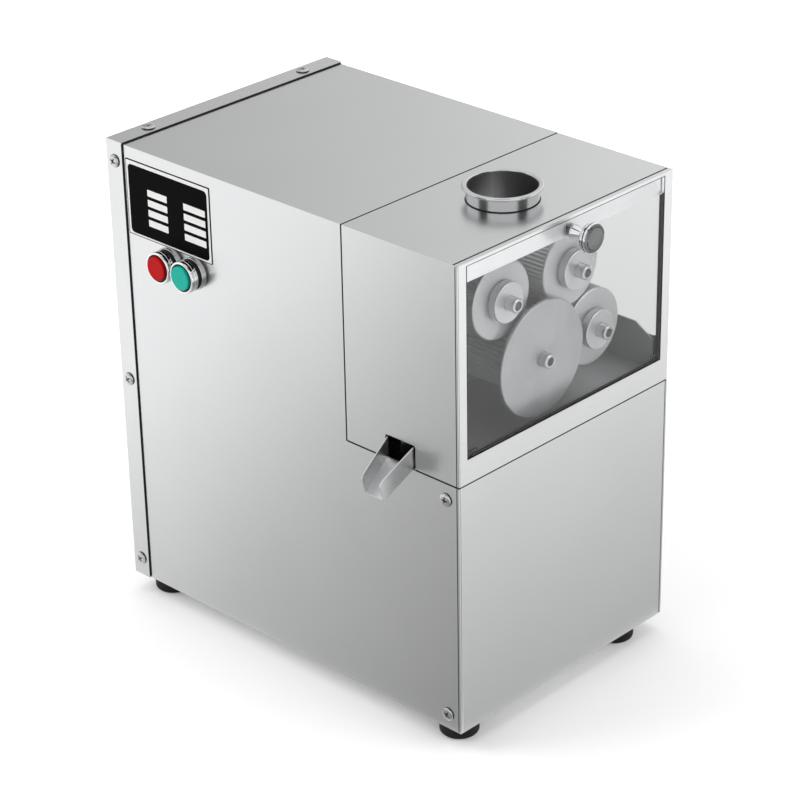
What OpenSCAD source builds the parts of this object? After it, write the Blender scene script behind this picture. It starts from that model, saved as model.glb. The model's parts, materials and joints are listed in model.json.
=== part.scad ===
// Countertop electric sugarcane juicer: a sheet steel cabinet with a lift-off head cover,
// four geared rollers behind a tilting window, a juice tray with a side spout and a gear motor.
// Cabinet places are measured from the left face, the front face and the underside of the body.

/* [Cabinet] */
// Width of the body
body_w = 260; // [256:1:300]
// Depth of the body, front face to rear face
body_d = 400; // [396:1:440]
// Height of the lower casing, underside to the seam below the head cover
base_h = 229; // [215:1:260]
// Height of the head cover above the seam
head_h = 190; // [189:1:220]
// Depth of the head cover, front face to the seam on top
head_d = 123; // [118:1:135]
// Thickness of the casing sheet
sheet = 1.5; // [1:0.1:2]
// Thickness of the deck that shows as the seam below the head cover
deck_t = 1.2; // [0.8:0.1:2]
// Gap of the upright seam between head cover and casing
seam = 1.2; // [0.6:0.1:1.6]
// Width of the folds that stiffen sheet edges
fold_w = 9; // [6:1:12]
// Width of the rear cover's flange on the sides and the top
rear_flange = 19; // [16:1:26]
// Thickness of the base plate
base_t = 2; // [1.5:0.5:4]
// Height of the base plate's upturned sides
base_flange = 24; // [20:1:32]

/* [Feet] */
// Diameter of a rubber foot
foot_d = 35; // [28:1:40]
// Height of a rubber foot
foot_h = 17; // [12:1:25]
// Distance of a foot's centre from the front, rear and left faces of the body
foot_inset = 23.5; // [21:0.5:40]
// Distance of the right feet's centres from the right face
foot_right = 35; // [21:1:36]
// Radius of the rounded edge of a foot
foot_edge = 4; // [2:0.5:6]

/* [Screws] */
// Diameter of a casing screw's head
screw_head_d = 11.6; // [9:0.1:12.5]
// Height of a casing screw's head
screw_head_h = 2.4; // [1.5:0.1:3]
// Diameter of a casing screw's shank
screw_d = 4; // [3:0.1:5]
// Length of a casing screw's shank
screw_len = 9; // [7:1:14]
// Distance of the rear screws from the rear face
rear_screw_inset = 9.5; // [7:0.5:11]
// Distance of the middle rear screws below the seam under the head cover
mid_screw_drop = 31; // [20:1:100]
// Distance of the end screws of the rear row from the top and the underside
rear_screw_end = 17; // [12:1:30]
// Distance of the top screws from the side faces
top_screw_inset = 38; // [20:1:70]
// Distance of the front screws from the front face
front_screw_y = 14; // [9:1:18]
// Distance of the front screws from the ends of the lower front panel
front_screw_end = 14; // [10:1:30]

/* [Front window] */
// Thickness of the front frame
frame_t = 5; // [4:0.5:8]
// Width of the frame's upright stiles, from the side of the body
stile_w = 10; // [8:0.5:16]
// Height of the frame's bottom rail
sill_h = 21; // [16:1:30]
// Height of the frame's thin top rail
top_rail = 2.6; // [2:0.1:5]
// Thickness of the clear window panel
window_t = 4.5; // [3.5:0.5:5]
// Gap beside and above the window panel
window_gap = 0.7; // [0.4:0.1:1.2]
// Gap below the window panel, room for its lower edge to swing
sill_gap = 1.2; // [1:0.1:2]
// Height of the head cover's fold behind the top of the window
apron_h = 19; // [12:1:24]
// Diameter of the window's pivot pins
pivot_d = 2.4; // [2:0.1:3]
// Length of a pivot pin in the frame
pivot_in_frame = 6; // [4:0.5:7]
// Length of a pivot pin in the window
pivot_in_window = 12; // [8:1:20]
// Height of the pivot above the window's lower edge
pivot_rise = 4; // [3.5:0.5:8]

/* [Knob] */
// Diameter of the knob's head
knob_d = 25.5; // [20:0.5:28]
// Reach of the knob in front of the window
knob_reach = 23.5; // [20:0.5:34]
// Thickness of the knob's head
knob_head_t = 9; // [6:0.5:11]
// Diameter of the knob's foot
knob_foot_d = 12; // [10:0.5:16]
// Diameter of the knob's neck
knob_neck_d = 6.4; // [6:0.2:9]
// Diameter of the knob's stud
knob_stud_d = 5; // [4:0.5:5.5]
// Distance of the knob below the top of the body
knob_drop = 14.7; // [14.5:0.1:30]
// Place of the knob to the right of the middle
knob_shift = 5.5; // [-20:0.5:20]

/* [Feed tube] */
// Outside diameter of the feed tube
feed_d = 59.5; // [50:0.5:64]
// Wall of the feed tube
feed_wall = 1.2; // [1:0.1:2]
// Height of the tube's rim above the head cover
feed_rise = 13; // [8:1:30]
// Reach of the tube below the top of the head cover
feed_drop = 15; // [8:1:18]
// Width of the rolled rim outside the tube
feed_rim = 3.3; // [2.5:0.1:6]
// Place of the tube's centre to the right of the nip that it feeds
feed_shift = 3.2; // [-4:0.1:5]
// Place of the tube's centre from the front face
feed_y = 63; // [50:1:75]

/* [Rollers] */
// Diameter of a fluted roller
roller_d = 67; // [64:0.5:70]
// Place of the rollers' front ends behind the front face
roller_y = 26; // [24:1:40]
// Number of flutes round a roller
flutes = 60; // [36:1:90]
// Depth of a flute
flute_depth = 1.1; // [0.5:0.1:1.6]
// Place of the main roller's axis from the left face, as a share of the body's width
main_share = 0.62; // [0.6:0.01:0.64]
// Height of the main roller's axis above the head cover's lower edge
main_rise = 128.8; // [126:0.2:132]
// Gap between the main roller and the left roller, where the cane enters
gap_left = 17; // [14:0.5:20]
// Gap between the main roller and the centre roller
gap_centre = 10; // [8:0.5:12]
// Gap between the main roller and the right roller, the tightest
gap_right = 2; // [1:0.1:4]
// Direction of the left roller seen from the front
angle_left = 180; // [176:0.5:184]
// Direction of the centre roller seen from the front
angle_centre = 234.5; // [232:0.5:236]
// Direction of the right roller seen from the front
angle_right = 294; // [292:0.5:296]
// Diameter of a roller shaft
shaft_d = 25; // [20:1:28]
// Diameter of the shaft's front stub
stub_d = 12.5; // [10:0.5:16]
// Length of the shaft's front stub
stub_len = 9.5; // [9:0.1:10]
// Width across flats of the socket in the stub
socket_af = 7; // [5:0.5:8]
// Depth of the socket in the stub
socket_depth = 7; // [5:1:9]
// Diameter of a roller's end collar
collar_d = 34.5; // [32:0.5:38]
// Length of a roller's end collar, from the sleeve to its polished face
collar_len = 8.5; // [6:0.5:9]
// Gap between the centre roller's disc and the main roller's collar
disc_gap = 9.5; // [8:0.5:12]
// Thickness of the centre roller's disc
disc_t = 3; // [2.5:0.1:4]
// Bevel of the disc's front edge
disc_bevel = 1.2; // [0.5:0.1:2]
// Length of the disc's hub behind the disc
disc_hub = 6.5; // [5:0.5:7]

/* [Gears and frame] */
// Teeth on the left roller's gear pair
teeth_left = 24; // [22:1:26]
// Teeth on the centre roller's gear pair
teeth_centre = 22; // [20:1:24]
// Teeth on the right roller's gear pair
teeth_right = 21; // [19:1:23]
// Teeth on the bull gear
teeth_bull = 34; // [32:1:35]
// Teeth on the drive pinion
teeth_pinion = 17; // [15:1:18]
// Distance of the drive pinion's axis from the main roller's axis
pinion_distance = 76.5; // [70:0.5:76.5]
// Direction of the drive pinion from the main roller, seen from the front
angle_pinion = 254; // [248:1:262]
// Face width of a gear
gear_face = 13; // [10:0.5:14]
// Play between meshing teeth, along the pitch circle
backlash = 0.4; // [0.2:0.05:0.8]
// Gap between neighbouring gears
gear_gap = 3; // [2:0.5:4]
// Thickness of the front bearing plate
front_plate_t = 20; // [20:1:24]
// Thickness of the rear bearing plate
rear_plate_t = 15; // [15:1:20]
// Distance of the bearing plates from the side faces
plate_inset = 4; // [4:0.5:8]
// Distance of the bearing plates from the top of the body
plate_drop = 8; // [5:0.5:12]
// Outside diameter of a shaft bearing
bearing_d = 52; // [44:1:54]
// Width of a shaft bearing
bearing_w = 15; // [12:1:15]
// Outside diameter of a shaft seal
seal_d = 42; // [36:1:44]
// Thickness of the splash plate
splash_t = 1.2; // [0.8:0.1:2]
// Diameter of a tie rod
tie_d = 14; // [12:1:18]
// Diameter of the threaded ends of a tie rod
tie_end_d = 8; // [6:1:10]
// Distance of the tie rods from the edges of the bearing plates
tie_inset = 11; // [10:1:18]

/* [Motor] */
// Diameter of the gearhead
gearhead_d = 100; // [90:1:108]
// Diameter of the motor's body without its ribs
motor_d = 110; // [100:1:116]
// Gap between the motor's fan cover and the rear cover
fan_gap = 13.3; // [10:0.1:25]
// Length of the gearhead, as a share of the drive behind its bracket
gearhead_share = 0.37; // [0.32:0.01:0.42]
// Length of the fan cover, as a share of the drive behind its bracket
fan_share = 0.13; // [0.1:0.01:0.16]
// Diameter of the motor's output shaft
output_d = 17; // [14:1:20]
// Thickness of the motor bracket
bracket_t = 8; // [6:1:10]
// Width of the motor bracket
bracket_w = 140; // [124:1:160]
// Length of the bracket's foot, as a share of the drive behind it
foot_share = 0.4; // [0.3:0.01:0.45]

/* [Tray and spout] */
// Thickness of the tray and spout sheet
tray_sheet = 1.2; // [0.8:0.1:1.5]
// Gap between the tray and the left face
tray_left = 14; // [12:1:18]
// Gap between the tray and the right face
tray_right = 11.5; // [11:0.5:16]
// Gap between the tray and the front face
tray_front = 9; // [9:1:15]
// Rise of the tray floor at its right end above the deck
tray_floor_right = 12; // [8:1:16]
// Rise of the tray floor at its fold above the deck
tray_floor_fold = 2.2; // [2:0.1:4]
// Place of the fold in the tray floor from the left face, as a share of the body's width
tray_fold_share = 0.54; // [0.44:0.01:0.6]
// Height of the tray's right wall above the deck
tray_right_h = 50; // [40:1:54]
// Height of the tray's front and rear walls above the deck
tray_wall_h = 11; // [9:0.5:12]
// Place of the spout's near side from the front face
spout_y = 48.5; // [40:0.5:60]
// Width of the spout at the casing
spout_w = 29.5; // [26:0.5:34]
// Width of the spout at its lip
spout_lip_w = 20.5; // [16:0.5:24]
// Reach of the spout's floor outside the casing
spout_reach = 31; // [25:0.5:45]
// Extra reach of the spout's side walls past its floor
spout_rake = 3.5; // [2:0.5:6]
// Slope of the spout in degrees
spout_slope = 30.8; // [26:0.2:34]
// Height of the spout's side walls
spout_wall_h = 19.2; // [16:0.2:22]
// Radius of the spout's upper corners
spout_corner = 6.5; // [4:0.5:8]
// Clear space round the spout in the head cover
spout_clear = 1.5; // [1:0.1:2]

/* [Bagasse outlet] */
// Place of the outlet's front edge from the front face
outlet_y = 12; // [12:1:24]
// Place of the outlet's lower edge above the head cover's lower edge
outlet_z = 36; // [34:1:40]
// Distance of the outlet's rear edge from the head cover's rear edge
outlet_rear = 15; // [12:1:30]
// Height of the outlet
outlet_h = 134; // [100:1:138]
// Radius of the outlet's corners
outlet_corner = 6; // [3:1:20]

/* [Switches and plate] */
// Distance of the stop button from the rear face
stop_rear = 69.8; // [60:0.1:90]
// Distance between the two buttons
button_gap = 29.5; // [29.2:0.1:40]
// Distance of the buttons' axes below the nameplate
button_drop = 15.2; // [15:0.1:50]
// Outside diameter of a button's bezel
bezel_d = 28.4; // [26:0.1:29]
// Diameter of a button's base ring
base_ring_d = 29; // [27:0.1:29]
// Thickness of a button's base ring
base_ring_t = 2.5; // [1.5:0.1:3.5]
// Thickness of a button's black collar
switch_collar_t = 4; // [3:0.1:5]
// Length of a button's bezel
bezel_len = 7; // [6:0.1:9]
// Diameter of a button's cap
cap_d = 23; // [20:0.1:23.4]
// Height of the cap in front of the bezel
cap_proud = 2; // [1:0.1:3]
// Travel of a button
button_travel = 4; // [2:0.1:4.5]
// Diameter of the panel hole for a button
barrel_d = 22; // [18:0.5:22.5]
// Diameter of the cap's stem
stem_d = 10; // [8:0.5:12]
// Width of the nameplate, along the side
plate_w = 103; // [80:1:110]
// Height of the nameplate
plate_h = 68.5; // [50:0.5:72]
// Distance of the nameplate from the rear face
plate_rear = 22; // [21:1:30]
// Distance of the nameplate from the top of the body
plate_top = 11; // [8:0.5:20]
// Thickness of the nameplate
plate_t = 0.8; // [0.5:0.1:1.5]
// Corner radius of the nameplate
plate_corner = 1; // [0.5:0.5:8]

/* [Rear cover and electrics] */
// Number of vent slots in a column
vent_rows = 9; // [5:1:10]
// Length of a vent slot
vent_len = 70; // [50:1:80]
// Width of a vent slot
vent_w = 3.4; // [2:0.2:3.8]
// Pitch of the vent slots
vent_pitch = 14; // [10:1:16]
// Height of the lowest vent slot
vent_z = 150; // [120:1:200]
// Diameter of the cable gland's hole
gland_d = 16; // [12:1:20]
// Reach of the cable gland behind the rear cover
gland_reach = 18; // [12:1:26]
// Bore of the cable gland
gland_bore = 8; // [5:0.5:9]
// Diameter of the motor's capacitor
capacitor_d = 42; // [35:1:48]
// Height of the motor's capacitor
capacitor_h = 78; // [60:1:90]
// Width of the control box
control_w = 74; // [60:1:80]
// Height of the control box
control_h = 56; // [40:1:70]
// Gap between the control box and the rear cover
control_rear = 19; // [14:1:30]
// Distance of the control box from the right face
control_right = 40; // [38:1:46]

/* [Hidden] */
$fn = 48;

// Fits: running fit of a turning shaft, play of a fixed fit, gap beside a moving round face
run_fit = 0.05;
fixed_fit = 0.02;
free_gap = 0.35;
// Play of a screw in its hole, and the overlap that makes a cut pass through a face
hole_play = 0.3;
cut = 1;

// Heights and depths of the cabinet
hood_z = base_h + deck_t;
body_h = hood_z + head_h;
casing_y = head_d + seam;
casing_back = body_d - sheet;
deck_inset = 0.8;
lip_w = 8;
lip_gap = 0.3;
foot_seat = 5;

// Bearing frame, from the splash plate backwards
plate_lead = 0.8;
plate_front = head_d - plate_lead;
roller_back_gap = 3;
roller_len = plate_front - splash_t - roller_back_gap - roller_y;
plate_back = plate_front + front_plate_t;
gear_y_left = plate_back + gear_gap;
gear_y_centre = gear_y_left + gear_face + gear_gap;
gear_y_right = gear_y_centre + gear_face + gear_gap;
rear_plate_y = gear_y_right + gear_face + gear_gap;
rear_plate_back = rear_plate_y + rear_plate_t;
bull_y = rear_plate_back + gear_gap;
bracket_y = bull_y + gear_face + gear_gap;
gearhead_y = bracket_y + bracket_t;
drive_len = casing_back - fan_gap - gearhead_y;
motor_y = gearhead_y + drive_len * gearhead_share;
fan_back = gearhead_y + drive_len;
fan_y = fan_back - drive_len * fan_share;
bracket_back = gearhead_y + drive_len * foot_share;
output_end = (gearhead_y + motor_y) / 2;
spigot_d = 60;
plate_top_z = body_h - plate_drop;
shaft_tail = 2;
tie_z_low = base_h + tie_inset;
tie_z_high = plate_top_z - tie_inset;
tie_places = [
    for (x = [plate_inset + tie_inset, body_w - plate_inset - tie_inset])
        for (z = [tie_z_low, tie_z_high]) [x, z]
];

// Roller axes as [x, z], each set from the main roller by its gap
function polar(centre, radius, angle) = centre + radius * [cos(angle), sin(angle)];
main_axis = [body_w * main_share, hood_z + main_rise];
span_left = roller_d + gap_left;
span_centre = roller_d + gap_centre;
span_right = roller_d + gap_right;
left_axis = polar(main_axis, span_left, angle_left);
centre_axis = polar(main_axis, span_centre, angle_centre);
right_axis = polar(main_axis, span_right, angle_right);
pinion_axis = polar(main_axis, pinion_distance, angle_pinion);
shaft_axes = [main_axis, left_axis, centre_axis, right_axis];
collar_y = roller_y - collar_len;
collar_web = 2;
shoulder_y = collar_y + collar_web;
stub_y = collar_y - stub_len;
disc_y = roller_y - disc_hub - disc_t;
disc_d = 2 * (span_centre - disc_gap) - collar_d;

// Tooth sizes that bring each pair of pitch circles together
pressure_angle = 20;
gear_size_left = span_left / teeth_left;
gear_size_centre = span_centre / teeth_centre;
gear_size_right = span_right / teeth_right;
gear_size_drive = 2 * pinion_distance / (teeth_bull + teeth_pinion);

// Front window and its knob
window_x = stile_w + window_gap;
window_y = (frame_t - window_t) / 2;
sill_z = hood_z + sill_h;
pivot_z = sill_z + sill_gap + pivot_rise;
window_top = body_h - top_rail - window_gap;
knob_x = body_w / 2 + knob_shift;
knob_z = body_h - knob_drop;
knob_nut_af = 8;
knob_nut_t = 4;
apron_gap = 0.6;
apron_y = frame_t + apron_gap;
apron_notch = 2 * knob_nut_af;
feed_x = main_axis.x - span_left / 2 + feed_shift;

// Tray and spout: the spout's rise per millimetre, and the height of its walls at the side of the body
tray_rear_gap = 2;
tray_x0 = tray_left;
tray_x1 = body_w - tray_right;
tray_y1 = plate_front - splash_t - tray_rear_gap;
tray_floor_left = tray_sheet;
tray_fold_x = body_w * tray_fold_share;
spout_grade = tan(spout_slope);
spout_mid_y = spout_y + spout_w / 2;
spout_top_z = hood_z + spout_wall_h;
spout_far = spout_reach + spout_rake;

// Nameplate and buttons on the left face
plate_low = [body_d - plate_rear - plate_w, body_h - plate_top - plate_h];
button_z = plate_low.y - button_drop;
button_places = [body_d - stop_rear, body_d - stop_rear - button_gap];
collar_face = base_ring_t + switch_collar_t;
bezel_face = collar_face + bezel_len;
cap_skirt = 1.5;
cap_len = cap_proud + cap_skirt;
cap_face = bezel_face + cap_proud;
barrel_len = 12;
block_w = 28;
block_h = 40;
block_d = 34;

// Rear cover and gland
gland_x = body_w - 60;
gland_z = 60;
vent_columns = [-1, 1];
vent_column_x = 50;

// The part's origin is below the middle of everything that reaches furthest
left_reach = spout_far;
right_reach = sheet + screw_head_h;
front_reach = knob_reach - window_y;
origin_x = (body_w + right_reach - left_reach) / 2;
origin_y = (body_d + gland_reach - front_reach) / 2;

// Placing and drawing helpers
module in_cabinet() {
    translate([-origin_x, -origin_y, foot_h]) children();
}

module block(low, high) {
    translate(low) cube(high - low);
}

// Extrudes an outline drawn in X and Z along Y
module extrude_y(y0, y1) {
    translate([0, y1, 0]) rotate([90, 0, 0]) linear_extrude(y1 - y0) children();
}

// Extrudes an outline drawn in Y and Z along X
module extrude_x(x0, x1) {
    translate([x0, 0, 0]) rotate([90, 0, 90]) linear_extrude(x1 - x0) children();
}

// Turns a profile of radius and depth about an axis along Y
module turn_y(axis) {
    translate([axis.x, 0, axis.y]) rotate([-90, 0, 0]) rotate_extrude() children();
}

module bar_y(axis, d, y0, y1) {
    translate([axis.x, y0, axis.y]) rotate([-90, 0, 0]) cylinder(d = d, h = y1 - y0);
}

// A bar along X at the place [y, z]
module bar_x(place, d, x0, x1) {
    translate([x0, place.x, place.y]) rotate([0, 90, 0]) cylinder(d = d, h = x1 - x0);
}

module rounded_rect(low, high, radius) {
    translate(low + [radius, 0]) square([high.x - low.x - 2 * radius, high.y - low.y]);
    translate(low + [0, radius]) square([high.x - low.x, high.y - low.y - 2 * radius]);
    for (x = [low.x + radius, high.x - radius])
        for (y = [low.y + radius, high.y - radius])
            translate([x, y]) circle(radius);
}

function arc(centre, radius, from, to, steps) = [
    for (i = [0:steps])
        let (a = from + (to - from) * i / steps)
        centre + radius * [cos(a), sin(a)]
];

// A pan head screw that points down, with its head's seat at zero
module pan_screw(head_d, head_h, shank_d, shank_len) {
    edge = head_h * 0.35;
    steps = 5;
    rotate_extrude() polygon(concat(
        [[0, -shank_len], [shank_d / 2, -shank_len], [shank_d / 2, 0], [head_d / 2, 0], [head_d / 2, edge]],
        [for (p = arc([0, 0], 1, 90 / steps, 90, steps - 1)) [head_d / 2 * p.x, edge + (head_h - edge) * p.y]]
    ));
}

module case_screw() {
    pan_screw(screw_head_d, screw_head_h, screw_d, screw_len);
}

// Places the children at each casing screw with its seat's outward direction along +Z
module at_rear_side_screws() {
    for (z = [rear_screw_end, base_h - mid_screw_drop, body_h - rear_screw_end]) {
        translate([-sheet, body_d - rear_screw_inset, z]) rotate([0, -90, 0]) children();
        translate([body_w + sheet, body_d - rear_screw_inset, z]) rotate([0, 90, 0]) children();
    }
}

module at_top_screws() {
    for (x = [top_screw_inset, body_w - top_screw_inset])
        translate([x, body_d - rear_screw_inset, body_h + sheet]) children();
}

module at_front_screws() {
    for (z = [front_screw_end, base_h - front_screw_end]) {
        translate([0, front_screw_y, z]) rotate([0, -90, 0]) children();
        translate([body_w, front_screw_y, z]) rotate([0, 90, 0]) children();
    }
}

module screw_hole() {
    translate([0, 0, -screw_len - cut]) cylinder(d = screw_d + 2 * hole_play, h = screw_len + 2 * cut);
}

module all_screw_holes() {
    at_rear_side_screws() screw_hole();
    at_top_screws() screw_hole();
    at_front_screws() screw_hole();
}

module at_feet() {
    for (x = [foot_inset, body_w - foot_right])
        for (y = [foot_inset, body_d - foot_inset])
            translate([x, y, 0]) children();
}

// Involute gear outline with one tooth's middle on the X axis
function involute(tilt) = tilt * 180 / PI - atan(tilt);
function roll(base_r, r) = sqrt(max(0, pow(r / base_r, 2) - 1));
function tooth_half(teeth, pitch_r, base_r, r) =
    90 / teeth - backlash / 4 / pitch_r * 180 / PI
    + involute(roll(base_r, pitch_r)) - involute(roll(base_r, r));

module gear_outline(teeth, size) {
    pitch_r = teeth * size / 2;
    base_r = pitch_r * cos(pressure_angle);
    root_share = 1.25;
    root_r = pitch_r - root_share * size;
    tip_r = pitch_r + size;
    flank_r = max(base_r, root_r);
    steps = 3;
    radii = [for (i = [0:steps]) flank_r + (tip_r - flank_r) * i / steps];
    half = [for (r = radii) tooth_half(teeth, pitch_r, base_r, r)];
    root_step = 0.01;
    side = concat([[root_r - root_step, half[0]]], [for (i = [0:steps]) [radii[i], half[i]]]);
    last = len(side) - 1;
    polygon([
        for (k = [0:teeth - 1])
            for (i = [0:2 * last + 1])
                let (
                    p = i <= last ? side[i] : side[2 * last + 1 - i],
                    a = 360 / teeth * k + (i <= last ? -p[1] : p[1])
                )
                p[0] * [cos(a), sin(a)]
    ]);
}

// A gear on a shaft, with a tooth turned to face the given direction
module spur_gear(axis, teeth, size, facing, y0, bore) {
    difference() {
        translate([axis.x, 0, axis.y])
            extrude_y(y0, y0 + gear_face) rotate(facing) gear_outline(teeth, size);
        bar_y(axis, bore + 2 * fixed_fit, y0 - cut, y0 + gear_face + cut);
    }
}

// A gear that meets a mate lying in the given direction with a gap between teeth
module mating_gear(axis, teeth, size, from, y0, bore) {
    spur_gear(axis, teeth, size, from + 180 + 180 / teeth, y0, bore);
}

// Outline of a fluted roller: narrow lands between shallow grooves
module fluted_outline() {
    pitch = 360 / flutes;
    land = 0.3;
    groove = 0.5;
    polygon([
        for (k = [0:flutes - 1])
            for (p = [[roller_d / 2, -land], [roller_d / 2, land], [roller_d / 2 - flute_depth, groove]])
                p[0] * [cos(pitch * (k + p[1])), sin(pitch * (k + p[1]))]
    ]);
}

module roller_sleeve(axis) {
    difference() {
        translate([axis.x, 0, axis.y]) extrude_y(roller_y, roller_y + roller_len) fluted_outline();
        bar_y(axis, shaft_d + 2 * fixed_fit, roller_y - cut, roller_y + roller_len + cut);
    }
}

// A stepped shaft with a socket in its front stub
module roller_shaft(axis, tail) {
    chamfer = 0.8;
    difference() {
        turn_y(axis) polygon([
            [0, stub_y], [stub_d / 2 - chamfer, stub_y], [stub_d / 2, stub_y + chamfer],
            [stub_d / 2, shoulder_y], [shaft_d / 2 - chamfer, shoulder_y],
            [shaft_d / 2, shoulder_y + chamfer], [shaft_d / 2, tail - chamfer], [shaft_d / 2 - chamfer, tail], [0, tail]
        ]);
        translate([axis.x, stub_y - cut, axis.y]) rotate([-90, 0, 0])
            cylinder(d = socket_af / cos(30), h = socket_depth + cut, $fn = 6);
    }
}

// Half section of a front piece that hides the shaft's shoulder behind a web, closed by the given outside
module capped_half(face, outside) {
    bore = shaft_d / 2 + fixed_fit;
    web_bore = stub_d / 2 + fixed_fit;
    polygon(concat(
        [[web_bore, face]], outside,
        [[bore, roller_y], [bore, shoulder_y], [web_bore, shoulder_y]]
    ));
}

// A turned collar with a groove in front of the sleeve
module end_collar(axis) {
    bevel = 0.8;
    groove_w = 1.6;
    groove_depth = 1.4;
    outer = collar_d / 2;
    groove_y = roller_y - groove_w;
    turn_y(axis) capped_half(collar_y, [
        [outer - bevel, collar_y], [outer, collar_y + bevel], [outer, groove_y],
        [outer - groove_depth, groove_y], [outer - groove_depth, roller_y]
    ]);
}

module shaft_bearing(axis, y0) {
    inner = shaft_d / 2 + run_fit;
    outer = bearing_d / 2 - fixed_fit;
    race_share = 0.3;
    race = (outer - inner) * race_share;
    dip = 1;
    turn_y(axis) polygon([
        [inner, y0], [inner + race, y0], [inner + race, y0 + dip], [outer - race, y0 + dip],
        [outer - race, y0], [outer, y0], [outer, y0 + bearing_w], [outer - race, y0 + bearing_w],
        [outer - race, y0 + bearing_w - dip], [inner + race, y0 + bearing_w - dip],
        [inner + race, y0 + bearing_w], [inner, y0 + bearing_w]
    ]);
}

// Cabinet

module base_plate() {
    color([0.72, 0.73, 0.74]) in_cabinet() difference() {
        union() {
            block([2 * sheet, sheet, 0], [body_w - 2 * sheet, casing_back, base_t]);
            for (x = [sheet, body_w - sheet - base_t])
                block([x, front_screw_y + fold_w, 0], [x + base_t, casing_back - sheet, base_flange]);
        }
        at_feet() translate([0, 0, -cut]) cylinder(d = screw_d + 2 * hole_play, h = base_t + 2 * cut);
        all_screw_holes();
    }
}

module side_outline() {
    polygon([
        [0, 0], [casing_back, 0], [casing_back, body_h], [casing_y, body_h], [casing_y, base_h], [0, base_h]
    ]);
}

// The room that the spout needs through the casing, the deck and the head cover
module spout_room() {
    corner = 2;
    clear_low = hood_z - 2 * corner;
    clear_high = spout_top_z + spout_clear;
    extrude_x(-spout_far, tray_left) rounded_rect(
        [spout_y - spout_clear, clear_low], [spout_y + spout_w + spout_clear, clear_high], corner
    );
}

module casing() {
    lip_back = casing_y + lip_w;
    color([0.80, 0.81, 0.82]) in_cabinet() difference() {
        union() {
            extrude_x(0, sheet) side_outline();
            extrude_x(body_w - sheet, body_w) side_outline();
            block([0, casing_y, body_h - sheet], [body_w, casing_back, body_h]);
            // Folds below the deck
            for (x = [sheet, body_w - sheet - fold_w])
                block(
                    [x, front_screw_y + fold_w, base_h - sheet],
                    [x + fold_w, head_d - lip_w - cut, base_h]
                );
            // Joggled lips that close the upright seams from inside
            for (x = [sheet, body_w - 2 * sheet - lip_gap])
                block([x, casing_y, hood_z], [x + sheet + lip_gap, lip_back, body_h - sheet]);
            for (x = [sheet + lip_gap, body_w - 2 * sheet - lip_gap])
                block(
                    [x, head_d - lip_w, hood_z + fold_w],
                    [x + sheet, casing_y, body_h - 2 * sheet - lip_gap]
                );
            block(
                [2 * sheet, casing_y, body_h - 2 * sheet - lip_gap],
                [body_w - 2 * sheet, lip_back, body_h - sheet]
            );
            block(
                [2 * sheet, head_d - lip_w, body_h - 2 * sheet - lip_gap],
                [body_w - 2 * sheet, casing_y, body_h - sheet - lip_gap]
            );
        }
        for (y = button_places) bar_x([y, button_z], barrel_d + 2 * hole_play, -cut, sheet + cut);
        all_screw_holes();
    }
}

module front_panel() {
    bend = 2;
    side_gap = 1;
    side_d = front_screw_y + fold_w - side_gap;
    color([0.82, 0.83, 0.84]) in_cabinet() difference() {
        union() {
            linear_extrude(base_h) difference() {
                union() {
                    translate([sheet + bend, 0]) square([body_w - 2 * sheet - 2 * bend, bend]);
                    translate([sheet, bend]) square([body_w - 2 * sheet, side_d - bend]);
                    for (x = [sheet + bend, body_w - sheet - bend]) translate([x, bend]) circle(bend);
                }
                translate([2 * sheet, sheet]) square([body_w - 4 * sheet, side_d]);
            }
            block([2 * sheet, sheet, base_h - sheet], [body_w - 2 * sheet, side_d, base_h]);
        }
        all_screw_holes();
    }
}

module vent_slot(x, z) {
    extrude_y(casing_back - cut, body_d + cut) {
        translate([x - vent_len / 2, z - vent_w / 2]) square([vent_len, vent_w]);
        for (end = [-1, 1]) translate([x + end * vent_len / 2, z]) circle(d = vent_w);
    }
}

module rear_cover() {
    flange_y = body_d - rear_flange;
    color([0.80, 0.81, 0.82]) in_cabinet() difference() {
        block([-sheet, flange_y, 0], [body_w + sheet, body_d, body_h + sheet]);
        block([0, flange_y - cut, -cut], [body_w, casing_back, body_h]);
        for (side = vent_columns)
            for (row = [0:vent_rows - 1])
                vent_slot(body_w / 2 + side * vent_column_x, vent_z + row * vent_pitch);
        bar_y([gland_x, gland_z], gland_d + 2 * hole_play, casing_back - cut, body_d + cut);
        all_screw_holes();
    }
}

module deck_plate() {
    color([0.45, 0.46, 0.47]) in_cabinet()
        block([deck_inset, deck_inset, base_h], [body_w - deck_inset, plate_front, hood_z]);
}

module feet() {
    bevel = 1;
    inner = screw_d / 2 + hole_play;
    well = screw_head_d / 2 + 1;
    color([0.05, 0.05, 0.05]) in_cabinet() at_feet() rotate_extrude() polygon(concat(
        [[inner, 0], [foot_d / 2 - bevel, 0], [foot_d / 2, -bevel]],
        arc([foot_d / 2 - foot_edge, foot_edge - foot_h], foot_edge, 0, -90, 6),
        [[well, -foot_h], [well, -foot_seat], [inner, -foot_seat]]
    ));
}

module foot_screws() {
    tip = screw_d / 2;
    color([0.6, 0.6, 0.62]) in_cabinet() at_feet()
        translate([0, 0, -foot_seat]) mirror([0, 0, 1])
            pan_screw(screw_head_d, screw_head_h, screw_d, foot_seat + base_t + tip);
}

module case_screws() {
    color([0.75, 0.75, 0.77]) in_cabinet() {
        at_rear_side_screws() case_screw();
        at_top_screws() case_screw();
        at_front_screws() case_screw();
    }
}

module nameplate() {
    color([0.06, 0.06, 0.06]) in_cabinet()
        extrude_x(-plate_t, 0) rounded_rect(plate_low, plate_low + [plate_w, plate_h], plate_corner);
}

// Switches

// Turns a profile of radius and height about an outward axis on the left face
module turn_out(y) {
    translate([0, y, button_z]) rotate([0, -90, 0]) rotate_extrude() children();
}

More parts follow.
